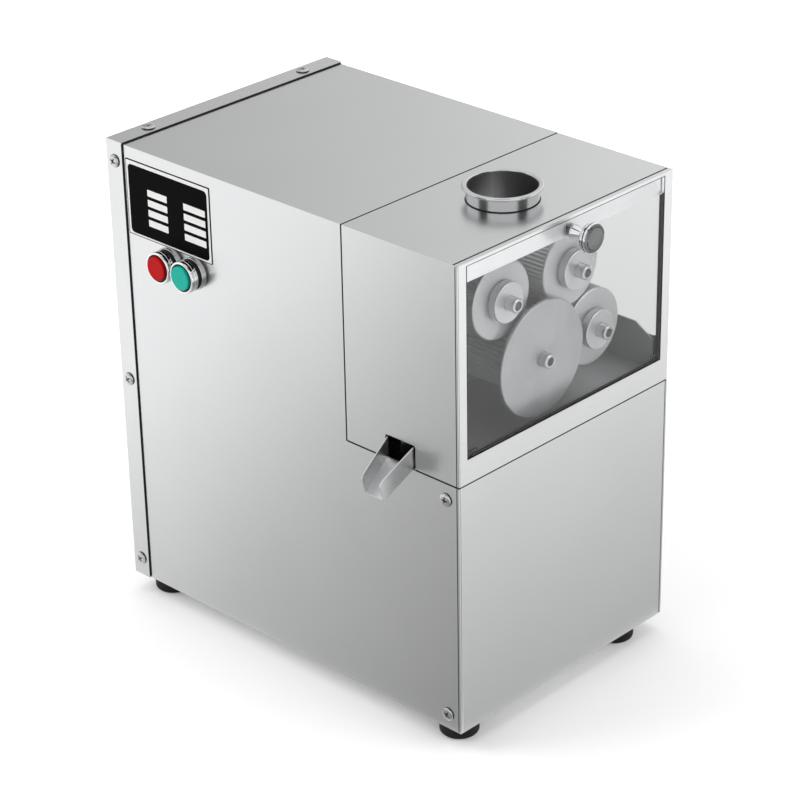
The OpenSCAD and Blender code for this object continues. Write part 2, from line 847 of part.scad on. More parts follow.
module button_bezels() {
    inner = cap_d / 2 + free_gap;
    edge = 1.2;
    bevel = 0.4;
    color([0.85, 0.85, 0.87]) in_cabinet() for (y = button_places) turn_out(y) polygon(concat(
        [[inner, collar_face], [bezel_d / 2, collar_face]],
        arc([bezel_d / 2 - edge, bezel_face - edge], edge, 0, 90, 4),
        [[inner + bevel, bezel_face], [inner, bezel_face - bevel]]
    ));
}

module button_collars() {
    step = 0.6;
    lip = bezel_d / 2 - step;
    bore = stem_d / 2 + run_fit;
    color([0.08, 0.08, 0.08]) in_cabinet() for (y = button_places) turn_out(y) polygon([
        [bore, -barrel_len], [barrel_d / 2, -barrel_len], [barrel_d / 2, base_ring_t],
        [lip, base_ring_t], [lip, collar_face], [bore, collar_face]
    ]);
}

module button_base_rings() {
    bevel = 0.5;
    color([0.7, 0.7, 0.72]) in_cabinet() for (y = button_places) turn_out(y) polygon([
        [barrel_d / 2 + fixed_fit, 0], [base_ring_d / 2, 0], [base_ring_d / 2, base_ring_t - bevel],
        [base_ring_d / 2 - bevel, base_ring_t], [barrel_d / 2 + fixed_fit, base_ring_t]
    ]);
}

module contact_blocks() {
    stem_room = stem_d / 2 + 1;
    stem_end = button_travel + 4;
    color([0.15, 0.15, 0.16]) in_cabinet() for (y = button_places) difference() {
        block(
            [barrel_len, y - block_w / 2, button_z - block_h / 2],
            [barrel_len + block_d, y + block_w / 2, button_z + block_h / 2]
        );
        bar_x([y, button_z], 2 * stem_room, barrel_len - cut, barrel_len + stem_end);
    }
}

// A cap with a crowned face on a stem that slides in the collar
module button_cap(y) {
    edge = 1;
    back = cap_face - cap_len;
    stem_back = 1 - barrel_len;
    turn_out(y) polygon(concat(
        [[0, stem_back], [stem_d / 2, stem_back], [stem_d / 2, back], [cap_d / 2, back]],
        arc([cap_d / 2 - edge, cap_face - edge], edge, 0, 90, 4),
        [[0, cap_face]]
    ));
}

module stop_button() {
    color([0.72, 0.06, 0.06]) in_cabinet() button_cap(button_places[0]);
}

module start_button() {
    color([0.07, 0.70, 0.64]) in_cabinet() button_cap(button_places[1]);
}

// Bearing frame

module bearing_plate(y0, y1) {
    difference() {
        block([plate_inset, y0, base_t], [body_w - plate_inset, y1, plate_top_z]);
        for (place = tie_places) bar_y(place, tie_end_d + 2 * hole_play, y0 - cut, y1 + cut);
        children();
    }
}

module front_bearing_plate() {
    seal_depth = front_plate_t - bearing_w;
    color([0.42, 0.43, 0.45]) in_cabinet() bearing_plate(plate_front, plate_back) {
        for (axis = shaft_axes) {
            bar_y(axis, seal_d, plate_front - cut, plate_front + seal_depth + cut);
            bar_y(axis, bearing_d, plate_front + seal_depth, plate_back + cut);
        }
    }
}

module rear_bearing_plate() {
    color([0.42, 0.43, 0.45]) in_cabinet() bearing_plate(rear_plate_y, rear_plate_back)
        for (axis = shaft_axes) bar_y(axis, bearing_d, rear_plate_y - cut, rear_plate_back + cut);
}

module tie_rods() {
    color([0.6, 0.6, 0.62]) in_cabinet() for (place = tie_places) {
        bar_y(place, tie_end_d, plate_front, plate_back + cut);
        bar_y(place, tie_d, plate_back, rear_plate_y);
        bar_y(place, tie_end_d, rear_plate_y - cut, rear_plate_back + tie_end_d);
    }
}

module frame_nuts() {
    corners_share = 1.85;
    height_share = 0.8;
    color([0.65, 0.65, 0.67]) in_cabinet() for (place = tie_places) difference() {
        translate([place.x, rear_plate_back, place.y]) rotate([-90, 0, 0])
            cylinder(d = corners_share * tie_end_d, h = height_share * tie_end_d, $fn = 6);
        bar_y(place, tie_end_d + 2 * fixed_fit, rear_plate_back - cut, rear_plate_back + tie_end_d + cut);
    }
}

module splash_plate() {
    shaft_room = shaft_d + 2;
    color([0.78, 0.79, 0.80]) in_cabinet() difference() {
        block(
            [plate_inset, plate_front - splash_t, hood_z],
            [body_w - plate_inset, plate_front, plate_top_z]
        );
        for (axis = shaft_axes)
            bar_y(axis, shaft_room, plate_front - splash_t - cut, plate_front + cut);
    }
}

module shaft_seals() {
    color([0.1, 0.1, 0.1]) in_cabinet() for (axis = shaft_axes) turn_y(axis) polygon([
        [shaft_d / 2 + run_fit, plate_front], [seal_d / 2 - fixed_fit, plate_front],
        [seal_d / 2 - fixed_fit, plate_front + front_plate_t - bearing_w],
        [shaft_d / 2 + run_fit, plate_front + front_plate_t - bearing_w]
    ]);
}

module front_bearings() {
    color([0.7, 0.71, 0.73]) in_cabinet()
        for (axis = shaft_axes) shaft_bearing(axis, plate_back - bearing_w);
}

module rear_bearings() {
    color([0.7, 0.71, 0.73]) in_cabinet() for (axis = shaft_axes) shaft_bearing(axis, rear_plate_y);
}

// Drive

module motor_bracket() {
    top_z = pinion_axis.y + gearhead_d / 2 + bracket_t;
    gusset_h = 2 * (bracket_back - gearhead_y);
    half = bracket_w / 2;
    color([0.3, 0.31, 0.33]) in_cabinet() difference() {
        union() {
            block([pinion_axis.x - half, bracket_y, base_t], [pinion_axis.x + half, gearhead_y, top_z]);
            block(
                [pinion_axis.x - half, bracket_y, base_t],
                [pinion_axis.x + half, bracket_back, base_t + bracket_t]
            );
            for (x = [pinion_axis.x - half, pinion_axis.x + half - bracket_t])
                extrude_x(x, x + bracket_t) polygon([
                    [gearhead_y, base_t], [bracket_back, base_t + bracket_t], [gearhead_y, base_t + gusset_h]
                ]);
        }
        bar_y(pinion_axis, spigot_d + 2 * fixed_fit, bracket_y - cut, gearhead_y + cut);
    }
}

module gearhead() {
    flange_t = 10;
    taper = 3;
    waist_r = gearhead_d / 2 - 5;
    color([0.55, 0.56, 0.58]) in_cabinet() difference() {
        turn_y(pinion_axis) polygon([
            [0, bracket_y], [spigot_d / 2, bracket_y], [spigot_d / 2, gearhead_y],
            [gearhead_d / 2, gearhead_y], [gearhead_d / 2, gearhead_y + flange_t],
            [waist_r, gearhead_y + flange_t + taper], [waist_r, motor_y - flange_t],
            [gearhead_d / 2, motor_y - flange_t], [gearhead_d / 2, motor_y], [0, motor_y]
        ]);
        bar_y(pinion_axis, output_d + 2 * run_fit, bracket_y - cut, output_end);
    }
}

module motor() {
    rib_count = 24;
    rib_h = 4;
    rib_w = 3;
    rib_root = 1;
    end_t = 8;
    color([0.25, 0.27, 0.30]) in_cabinet() {
        bar_y(pinion_axis, motor_d, motor_y, fan_y);
        translate([pinion_axis.x, 0, pinion_axis.y]) extrude_y(motor_y + end_t, fan_y - end_t)
            for (k = [0:rib_count - 1])
                rotate(k * 360 / rib_count)
                    translate([motor_d / 2 - rib_root, -rib_w / 2]) square([rib_h + rib_root, rib_w]);
    }
}

module fan_cover() {
    wall = 1.5;
    bevel = 5;
    slot_count = 16;
    slot_w = 3;
    slot_share = 0.4;
    outer = motor_d / 2;
    color([0.12, 0.12, 0.13]) in_cabinet() difference() {
        turn_y(pinion_axis) polygon([
            [outer - wall, fan_y], [outer, fan_y], [outer, fan_back - bevel], [outer - bevel, fan_back],
            [0, fan_back], [0, fan_back - wall], [outer - bevel - wall / 2, fan_back - wall],
            [outer - wall, fan_back - bevel - wall / 2]
        ]);
        translate([pinion_axis.x, 0, pinion_axis.y]) extrude_y(fan_back - wall - cut, fan_back + cut)
            for (k = [0:slot_count - 1])
                rotate(k * 360 / slot_count) translate([outer * slot_share, -slot_w / 2])
                    square([outer * slot_share, slot_w]);
    }
}

// The pinion is cut on the end of the gearhead's output shaft
module drive_pinion() {
    facing = angle_pinion + 180 + 180 / teeth_pinion;
    color([0.55, 0.56, 0.58]) in_cabinet() {
        translate([pinion_axis.x, 0, pinion_axis.y])
            extrude_y(bull_y, bull_y + gear_face) rotate(facing) gear_outline(teeth_pinion, gear_size_drive);
        bar_y(pinion_axis, output_d, bull_y + gear_face / 2, output_end - cut);
    }
}

module capacitor() {
    edge = 2;
    place = [pinion_axis.x - motor_d / 2, (bracket_back + casing_back) / 2];
    color([0.82, 0.83, 0.84]) in_cabinet() translate([place.x, place.y, base_t]) rotate_extrude()
        polygon(concat(
            [[0, 0], [capacitor_d / 2, 0]],
            arc([capacitor_d / 2 - edge, capacitor_h - edge], edge, 0, 90, 4),
            [[0, capacitor_h]]
        ));
}

module control_box() {
    foot_gap = 4;
    right = body_w - control_right;
    front = bracket_back + foot_gap;
    back = casing_back - control_rear;
    step_d = 20;
    step_h = 14;
    color([0.22, 0.23, 0.24]) in_cabinet() difference() {
        block([right - control_w, front, base_t], [right, back, base_t + control_h]);
        // Step for the terminal screws
        block(
            [right - control_w - cut, back - step_d, base_t + control_h - step_h],
            [right + cut, back + cut, base_t + control_h + cut]
        );
    }
}

module cable_gland() {
    nut_t = 5;
    thread_end = 2;
    crown = 4;
    front = casing_back - nut_t - thread_end;
    flange = gland_d + 8;
    color([0.07, 0.07, 0.07]) in_cabinet() difference() {
        union() {
            bar_y([gland_x, gland_z], gland_d, front, body_d + cut);
            translate([gland_x, body_d, gland_z]) rotate([-90, 0, 0])
                cylinder(d = flange, h = nut_t, $fn = 6);
            turn_y([gland_x, gland_z]) polygon(concat(
                [[0, body_d + nut_t - cut], [(gland_d + crown) / 2, body_d + nut_t - cut]],
                arc([(gland_d - crown) / 2, body_d + gland_reach - crown], crown, 0, 90, 4),
                [[0, body_d + gland_reach]]
            ));
            translate([gland_x, casing_back - nut_t, gland_z]) rotate([-90, 0, 0])
                cylinder(d = flange, h = nut_t, $fn = 6);
        }
        bar_y([gland_x, gland_z], gland_bore, front - cut, body_d + gland_reach + cut);
    }
}

// Juice tray and spout

// Side view of the tray's floor and right wall, as a sheet of even thickness
module tray_section() {
    polygon([
        [tray_x0, hood_z + tray_floor_left], [tray_fold_x, hood_z + tray_floor_fold],
        [tray_x1 - tray_sheet, hood_z + tray_floor_right], [tray_x1 - tray_sheet, hood_z + tray_right_h],
        [tray_x1, hood_z + tray_right_h], [tray_x1, hood_z + tray_floor_right - tray_sheet],
        [tray_fold_x, hood_z + tray_floor_fold - tray_sheet], [tray_x0, hood_z + tray_floor_left - tray_sheet]
    ]);
}

module juice_tray() {
    corner_h = 12;
    corner_d = 20.4;
    color([0.42, 0.43, 0.44]) in_cabinet() difference() {
        union() {
            extrude_y(tray_front, tray_y1) tray_section();
            // Front and rear walls stand on the deck and hold the floor
            for (y = [tray_front, tray_y1 - tray_sheet])
                block([tray_x0, y, hood_z], [tray_x1, y + tray_sheet, hood_z + tray_wall_h]);
            block([tray_x0, tray_front, hood_z], [tray_x0 + tray_sheet, tray_y1, hood_z + tray_wall_h]);
        }
        // The right wall's front corner is sheared off at a slant
        extrude_x(tray_x1 - tray_sheet - cut, tray_x1 + cut) polygon([
            [tray_front - cut, hood_z + tray_right_h - corner_h],
            [tray_front + corner_d, hood_z + tray_right_h + cut],
            [tray_front - cut, hood_z + tray_right_h + cut]
        ]);
        // The left wall opens into the spout
        block(
            [tray_x0 - cut, spout_y + tray_sheet, hood_z + tray_floor_left],
            [tray_x0 + tray_sheet + cut, spout_y + spout_w - tray_sheet, hood_z + tray_wall_h + cut]
        );
    }
}

// Height of the spout's underside at a distance outside the body
function spout_under(out) = hood_z - out * spout_grade;

// Side view of the spout: a floor flat on the deck and then on the slope, and walls that rake past its lip
module spout_side() {
    corner_z = spout_top_z - (spout_far - spout_corner) * spout_grade - spout_corner / cos(spout_slope);
    polygon(concat(
        [[tray_x0, hood_z], [0, hood_z], [-spout_reach, spout_under(spout_reach)]],
        arc([-spout_far + spout_corner, corner_z], spout_corner, 180, 90 + spout_slope, 6),
        [[0, spout_top_z], [tray_x0, spout_top_z]]
    ));
}

// Side view of the space inside the spout
module spout_hollow() {
    lift = tray_sheet / cos(spout_slope);
    bend = tray_sheet * tan(spout_slope / 2);
    inner = tray_x0 + cut;
    outer = spout_far + cut;
    polygon([
        [inner, hood_z + tray_sheet], [-bend, hood_z + tray_sheet], [-outer, spout_under(outer) + lift],
        [-outer, spout_top_z + cut], [inner, spout_top_z + cut]
    ]);
}

// Plan of the spout, straight inside the casing and tapered outside it
module spout_plan(wall, over) {
    half = spout_w / 2 - wall;
    lip_half = spout_lip_w / 2 - wall;
    taper = (half - lip_half) / spout_far;
    far = spout_far + over;
    polygon([
        [tray_x0 + over, spout_mid_y - half], [0, spout_mid_y - half],
        [-far, spout_mid_y - half + far * taper], [-far, spout_mid_y + half - far * taper],
        [0, spout_mid_y + half], [tray_x0 + over, spout_mid_y + half]
    ]);
}

module juice_spout() {
    low = hood_z - spout_far;
    high = spout_top_z + spout_far;
    color([0.80, 0.81, 0.82]) in_cabinet() difference() {
        intersection() {
            extrude_y(spout_y - cut, spout_y + spout_w + cut) spout_side();
            translate([0, 0, low]) linear_extrude(high - low) spout_plan(0, 0);
        }
        intersection() {
            extrude_y(spout_y - cut, spout_y + spout_w + cut) spout_hollow();
            translate([0, 0, low]) linear_extrude(high - low) spout_plan(tray_sheet, cut);
        }
    }
}

// Rollers and their gears

module main_shaft() {
    color([0.75, 0.76, 0.78]) in_cabinet() roller_shaft(main_axis, bull_y + gear_face + shaft_tail);
}

module main_sleeve() {
    color([0.70, 0.71, 0.72]) in_cabinet() roller_sleeve(main_axis);
}

module main_collar() {
    color([0.76, 0.77, 0.78]) in_cabinet() end_collar(main_axis);
}

module main_gear_left() {
    color([0.5, 0.51, 0.53]) in_cabinet()
        spur_gear(main_axis, teeth_left, gear_size_left, angle_left, gear_y_left, shaft_d);
}

module main_gear_centre() {
    color([0.5, 0.51, 0.53]) in_cabinet()
        spur_gear(main_axis, teeth_centre, gear_size_centre, angle_centre, gear_y_centre, shaft_d);
}

module main_gear_right() {
    color([0.5, 0.51, 0.53]) in_cabinet()
        spur_gear(main_axis, teeth_right, gear_size_right, angle_right, gear_y_right, shaft_d);
}

module bull_gear() {
    color([0.5, 0.51, 0.53]) in_cabinet()
        spur_gear(main_axis, teeth_bull, gear_size_drive, angle_pinion, bull_y, shaft_d);
}

module left_shaft() {
    color([0.75, 0.76, 0.78]) in_cabinet() roller_shaft(left_axis, rear_plate_back + shaft_tail);
}

module left_sleeve() {
    color([0.70, 0.71, 0.72]) in_cabinet() roller_sleeve(left_axis);
}

module left_collar() {
    color([0.76, 0.77, 0.78]) in_cabinet() end_collar(left_axis);
}

module left_gear() {
    color([0.5, 0.51, 0.53]) in_cabinet()
        mating_gear(left_axis, teeth_left, gear_size_left, angle_left, gear_y_left, shaft_d);
}

module centre_shaft() {
    color([0.75, 0.76, 0.78]) in_cabinet() roller_shaft(centre_axis, rear_plate_back + shaft_tail);
}

module centre_sleeve() {
    color([0.70, 0.71, 0.72]) in_cabinet() roller_sleeve(centre_axis);
}

// The wide disc that keeps the cane on the rollers, with a hub against the sleeve
module centre_disc() {
    outer = disc_d / 2;
    hub_r = collar_d / 2;
    disc_back = disc_y + disc_t;
    color([0.76, 0.77, 0.78]) in_cabinet() turn_y(centre_axis) capped_half(disc_y, [
        [outer - disc_bevel, disc_y], [outer, disc_y + disc_bevel], [outer, disc_back],
        [hub_r, disc_back], [hub_r, roller_y]
    ]);
}

module centre_gear() {
    color([0.5, 0.51, 0.53]) in_cabinet()
        mating_gear(centre_axis, teeth_centre, gear_size_centre, angle_centre, gear_y_centre, shaft_d);
}

module right_shaft() {
    color([0.75, 0.76, 0.78]) in_cabinet() roller_shaft(right_axis, rear_plate_back + shaft_tail);
}

module right_sleeve() {
    color([0.70, 0.71, 0.72]) in_cabinet() roller_sleeve(right_axis);
}

module right_collar() {
    color([0.76, 0.77, 0.78]) in_cabinet() end_collar(right_axis);
}

module right_gear() {
    color([0.5, 0.51, 0.53]) in_cabinet()
        mating_gear(right_axis, teeth_right, gear_size_right, angle_right, gear_y_right, shaft_d);
}

// Head cover

module hood() {
    outlet_low = [outlet_y, hood_z + outlet_z];
    outlet_high = [head_d - outlet_rear, outlet_low.y + outlet_h];
    color([0.82, 0.83, 0.84]) in_cabinet() difference() {
        union() {
            for (x = [0, body_w - sheet]) block([x, 0, hood_z], [x + sheet, head_d, body_h]);
            block([0, apron_y, body_h - sheet], [body_w, head_d, body_h]);
            // Folds that rest on the deck
            for (x = [sheet, body_w - sheet - fold_w])
                block([x, tray_front, hood_z], [x + fold_w, head_d - lip_w - cut, hood_z + sheet]);
            // Fold behind the top of the window
            block([stile_w, apron_y, body_h - apron_h], [body_w - stile_w, apron_y + sheet, body_h]);
        }
        spout_room();
        extrude_x(body_w - sheet - cut, body_w + cut)
            rounded_rect(outlet_low, outlet_high, outlet_corner);
        translate([feed_x, feed_y, body_h - sheet - cut])
            cylinder(d = feed_d + 2 * fixed_fit, h = sheet + 2 * cut);
        block(
            [knob_x - apron_notch / 2, apron_y - cut, body_h - apron_h - cut],
            [knob_x + apron_notch / 2, apron_y + sheet + cut, knob_z + apron_notch / 2]
        );
    }
}

module front_frame() {
    color([0.88, 0.89, 0.90]) in_cabinet() difference() {
        block([sheet, 0, hood_z], [body_w - sheet, frame_t, body_h]);
        block([stile_w, -cut, sill_z], [body_w - stile_w, frame_t + cut, body_h - top_rail]);
        bar_x(
            [frame_t / 2, pivot_z], pivot_d + 2 * run_fit,
            stile_w - pivot_in_frame, body_w - stile_w + pivot_in_frame
        );
    }
}

module feed_tube() {
    outer = feed_d / 2;
    inner = outer - feed_wall;
    top = body_h + feed_rise;
    roll_r = 1.3;
    color([0.72, 0.73, 0.75]) in_cabinet() translate([feed_x, feed_y, 0]) rotate_extrude() polygon(concat(
        [[inner, body_h - feed_drop], [outer, body_h - feed_drop], [outer, top - 2 * roll_r]],
        arc([outer + feed_rim - roll_r, top - roll_r], roll_r, -90, 90, 6),
        [[inner + roll_r, top]],
        arc([inner + roll_r, top - roll_r], roll_r, 90, 180, 4)
    ));
}

module window() {
    color([0.92, 0.95, 0.97, 0.35]) in_cabinet() difference() {
        block(
            [window_x, window_y, sill_z + sill_gap],
            [body_w - window_x, window_y + window_t, window_top]
        );
        bar_y([knob_x, knob_z], knob_stud_d + 2 * hole_play, window_y - cut, window_y + window_t + cut);
        for (x = [window_x - cut, body_w - window_x - pivot_in_window])
            bar_x([frame_t / 2, pivot_z], pivot_d + 2 * fixed_fit, x, x + pivot_in_window + cut);
    }
}

// A turned knob: a conical foot, a thin neck and a thick round head with a crowned face
module knob() {
    face = window_y;
    foot_rim = 1.5;
    cone_share = 0.6;
    neck_len = 1;
    crown = 0.3;
    stud_end = 1;
    head_back = face - knob_reach + knob_head_t;
    neck_y = face - (knob_reach - knob_head_t) * cone_share;
    rim = (knob_head_t - neck_len) / 2;
    stud_y = face + window_t + knob_nut_t + stud_end;
    color([0.80, 0.81, 0.83]) in_cabinet() turn_y([knob_x, knob_z]) polygon(concat(
        [
            [0, stud_y], [knob_stud_d / 2, stud_y], [knob_stud_d / 2, face],
            [knob_foot_d / 2, face], [knob_foot_d / 2, face - foot_rim],
            [knob_neck_d / 2, neck_y], [knob_neck_d / 2, neck_y - neck_len], [knob_d / 2 - rim, head_back]
        ],
        arc([knob_d / 2 - rim, head_back - rim], rim, 75, -90, 8),
        [[knob_d / 4, face - knob_reach + crown], [0, face - knob_reach]]
    ));
}

module knob_nut() {
    y0 = window_y + window_t;
    color([0.7, 0.7, 0.72]) in_cabinet() difference() {
        translate([knob_x, y0, knob_z]) rotate([-90, 0, 0])
            cylinder(d = knob_nut_af / cos(30), h = knob_nut_t, $fn = 6);
        bar_y([knob_x, knob_z], knob_stud_d + 2 * fixed_fit, y0 - cut, y0 + knob_nut_t + cut);
    }
}

module pivot_pins() {
    play = 0.5;
    outer = stile_w - pivot_in_frame + play;
    inner = window_x + pivot_in_window - play;
    color([0.7, 0.7, 0.72]) in_cabinet() {
        bar_x([frame_t / 2, pivot_z], pivot_d, outer, inner);
        bar_x([frame_t / 2, pivot_z], pivot_d, body_w - inner, body_w - outer);
    }
}

base_plate();
casing();
front_panel();
rear_cover();
deck_plate();
feet();
foot_screws();
case_screws();
nameplate();
button_bezels();
button_collars();
button_base_rings();
contact_blocks();
front_bearing_plate();
rear_bearing_plate();
tie_rods();
frame_nuts();
splash_plate();
shaft_seals();
front_bearings();
rear_bearings();
motor_bracket();
gearhead();
motor();
fan_cover();
capacitor();
control_box();
cable_gland();
juice_tray();
juice_spout();
main_shaft();
main_sleeve();
main_collar();
main_gear_left();
main_gear_centre();
main_gear_right();
bull_gear();
left_shaft();
left_sleeve();
left_collar();
left_gear();
centre_shaft();
centre_sleeve();
centre_disc();
centre_gear();
right_shaft();
right_sleeve();
right_collar();
right_gear();
drive_pinion();
stop_button();
start_button();
hood();
front_frame();
feed_tube();
window();
knob();
knob_nut();
pivot_pins();
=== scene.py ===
import json
import math

import bmesh
import bpy
from mathutils import Matrix, Vector


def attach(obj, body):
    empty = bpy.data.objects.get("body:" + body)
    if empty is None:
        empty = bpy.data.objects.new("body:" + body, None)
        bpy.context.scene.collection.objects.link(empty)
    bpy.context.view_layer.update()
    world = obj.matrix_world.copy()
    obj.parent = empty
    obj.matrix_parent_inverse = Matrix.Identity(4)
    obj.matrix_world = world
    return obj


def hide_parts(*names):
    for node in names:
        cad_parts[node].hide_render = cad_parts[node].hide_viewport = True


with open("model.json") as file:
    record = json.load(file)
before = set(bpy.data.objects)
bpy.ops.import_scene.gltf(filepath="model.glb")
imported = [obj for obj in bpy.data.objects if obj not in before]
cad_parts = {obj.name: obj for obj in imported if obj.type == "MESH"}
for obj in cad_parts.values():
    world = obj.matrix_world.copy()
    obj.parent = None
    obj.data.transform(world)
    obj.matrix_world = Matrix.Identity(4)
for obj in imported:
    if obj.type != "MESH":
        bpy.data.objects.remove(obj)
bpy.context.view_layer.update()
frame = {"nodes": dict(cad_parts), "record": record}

# Sizes are in millimetres from the cabinet's left face, front face and underside, as in the CAD source.
MM = 0.001
CABINET = Vector((114.7, 197.375, -17.0))
LEFT = Vector((-1, 0, 0))
RIGHT = Vector((1, 0, 0))
FRONT = Vector((0, -1, 0))
UP = Vector((0, 0, 1))

# Cabinet sizes
BODY_W = 260.0
BODY_D = 400.0
BASE_H = 229.0
HOOD_Z = 230.2
BODY_H = 420.2
SHEET = 1.5
SILL_Z = 251.2
WINDOW_TOP = 416.9
FLANGE_FRONT = 381.0

# Mesh tolerances
SMOOTH_ANGLE = math.radians(32)
FLAT_ANGLE = math.radians(0.5)
WELD = 1e-6
ON_AXIS = 1e-6

record = frame["record"]
BODY_OF = {node: body for body, nodes in record["behaviour"]["bodies"].items() for node in nodes}
SLOT_OF = {part["node"]: part["material_slot"] for part in record["subparts"]}


def place(x, y, z):
    """A cabinet place in metres in the part's frame."""
    return (Vector((x, y, z)) - CABINET) * MM


# Materials

ALONG_X = (0.02, 1, 1)
ALONG_Y = (1, 0.02, 1)
ALONG_Z = (1, 1, 0.03)
NOISE_LOW = 0.3
NOISE_HIGH = 0.7
RELIEF = 0.0006
ACRYLIC_IOR = 1.3


def cool(tone):
    """The grey of bare metal, a touch cooler than neutral."""
    return (tone, tone + 0.005, tone + 0.01)


def socket(node, name, value):
    node.inputs[name].default_value = value


def own_space(tree):
    """The place of a point in the piece's own space."""
    return tree.nodes.new("ShaderNodeTexCoord").outputs["Object"]


def ramp(tree, source, low, high, start=0.35, end=0.65):
    """A colour ramp from one tone to another, driven by a texture's value."""
    node = tree.nodes.new("ShaderNodeValToRGB")
    node.color_ramp.elements[0].position = start
    node.color_ramp.elements[0].color = (*low, 1)
    node.color_ramp.elements[1].position = end
    node.color_ramp.elements[1].color = (*high, 1)
    tree.links.new(source, node.inputs["Fac"])
    return node.outputs["Color"]


def mapped(tree, source, start, end, low=0.0, high=1.0):
    """Maps the stretch of a value from start to end onto low to high."""
    node = tree.nodes.new("ShaderNodeMapRange")
    socket(node, "From Min", start)
    socket(node, "From Max", end)
    socket(node, "To Min", low)
    socket(node, "To Max", high)
    tree.links.new(source, node.inputs["Value"])
    return node.outputs["Result"]


def noise(tree, vector, scale, detail=3.0):
    node = tree.nodes.new("ShaderNodeTexNoise")
    socket(node, "Scale", scale)
    socket(node, "Detail", detail)
    tree.links.new(vector, node.inputs["Vector"])
    return node.outputs["Fac"]


def stretched(tree, vector, stretch):
    node = tree.nodes.new("ShaderNodeMapping")
    socket(node, "Scale", stretch)
    tree.links.new(vector, node.inputs["Vector"])
    return node.outputs["Vector"]


def rings(tree, vector, scale):
    """Fine turning marks round the local Z axis."""
    node = tree.nodes.new("ShaderNodeTexWave")
    node.wave_type = "RINGS"
    node.rings_direction = "Z"
    socket(node, "Scale", scale)
    tree.links.new(vector, node.inputs["Vector"])
    return node.outputs["Fac"]


def surface(name, base, roughness, metallic=0.0, stretch=(1, 1, 1), grain=500.0, depth=0.02,
            mottle=0.04, spread=0.05, marks=0.0, broad=9.0, shine=0.5):
    """A material whose tone, roughness and fine relief vary over the surface."""
    material = bpy.data.materials.new(name)
    material.use_nodes = True
    tree = material.node_tree
    shader = tree.nodes["Principled BSDF"]
    socket(shader, "Metallic", metallic)
    socket(shader, "Specular IOR Level", shine)
    local = own_space(tree)
    fine = rings(tree, local, marks) if marks else noise(tree, stretched(tree, local, stretch), grain)
    wide = noise(tree, local, broad)
    dark = tuple(c * (1 - mottle) for c in base)
    light = tuple(min(1.0, c * (1 + mottle)) for c in base)
    tree.links.new(ramp(tree, wide, dark, light), shader.inputs["Base Color"])
    varied = mapped(tree, fine, NOISE_LOW, NOISE_HIGH, roughness - spread, roughness + spread)
    tree.links.new(varied, shader.inputs["Roughness"])
    bump = tree.nodes.new("ShaderNodeBump")
    socket(bump, "Strength", depth)
    socket(bump, "Distance", RELIEF)
    tree.links.new(fine, bump.inputs["Height"])
    tree.links.new(bump.outputs["Normal"], shader.inputs["Normal"])
    return material


def clear_acrylic():
    """Clear polished sheet with the faintest wiping marks."""
    material = surface("clear_acrylic", cool(0.91), 0.012, grain=60.0, depth=0.0, mottle=0.01, spread=0.006)
    shader = material.node_tree.nodes["Principled BSDF"]
    socket(shader, "Transmission Weight", 1.0)
    socket(shader, "IOR", ACRYLIC_IOR)
    return material


def repaint(material, value, start, end, tones):
    """Gives a material two tones that blend as a value runs from start to end."""
    tree = material.node_tree
    tone = ramp(tree, mapped(tree, value, start, end), *tones, 0.0, 1.0)
    tree.links.new(tone, tree.nodes["Principled BSDF"].inputs["Base Color"])
    return material


def local_axis(material, axis):
    """One coordinate of the piece's own space."""
    tree = material.node_tree
    split = tree.nodes.new("ShaderNodeSeparateXYZ")
    tree.links.new(own_space(tree), split.inputs["Vector"])
    return split.outputs[axis]


# Painted shade: a near-black tone for the spout behind the cabinet's left face and for the tray round the
# spout's inner end.
SPOUT_SHADE = (0.012, 0.012, 0.012)
SPOUT_SHADE_CENTRE = place(14, 63, 232)
SPOUT_SHADE_FULL = 20 * MM
SPOUT_SHADE_END = 32 * MM


def spout_with_painted_shade():
    """Sheet that is bright outside the cabinet's left face and painted near-black behind it, as painted
    shade inside the cabinet.
    """
    bright = cool(0.70)
    material = surface("spout_sheet_painted_shade", bright, 0.30, 1.0, grain=900.0, depth=0.01, spread=0.03)
    outside, inside = place(-1, 0, 0).x, place(1, 0, 0).x
    return repaint(material, local_axis(material, "X"), outside, inside, (bright, SPOUT_SHADE))


def tray_with_painted_shade():
    """Dull sheet painted near-black round the spout's inner end, as painted shade seen through the spout."""
    bright = cool(0.46)
    material = surface("tray_sheet_painted_shade", bright, 0.42, 0.5, stretch=ALONG_X, grain=700.0, depth=0.06)
    tree = material.node_tree
    reach = tree.nodes.new("ShaderNodeVectorMath")
    reach.operation = "DISTANCE"
    reach.inputs[1].default_value = SPOUT_SHADE_CENTRE
    tree.links.new(own_space(tree), reach.inputs[0])
    # Painted shade: darkest near the spout's inner end, fading to the sheet's own tone further away.
    return repaint(material, reach.outputs["Value"], SPOUT_SHADE_FULL, SPOUT_SHADE_END, (SPOUT_SHADE, bright))


def knob_chrome_painted_dark_face():
    """Bright chrome on the stem and the rim, and a face painted darker as a painted reflection of dark
    surroundings.
    """
    bright, dark = cool(0.80), (0.155, 0.157, 0.16)
    rim_end, face_start = 20.8 * MM, 22.0 * MM
    material = surface("knob_chrome_painted_dark_face", bright, 0.07, 1.0, grain=40.0, depth=0.0, spread=0.03)
    # Painted reflection: the face's base colour is darkened where it would mirror dark surroundings.
    return repaint(material, local_axis(material, "Z"), rim_end, face_start, (bright, dark))


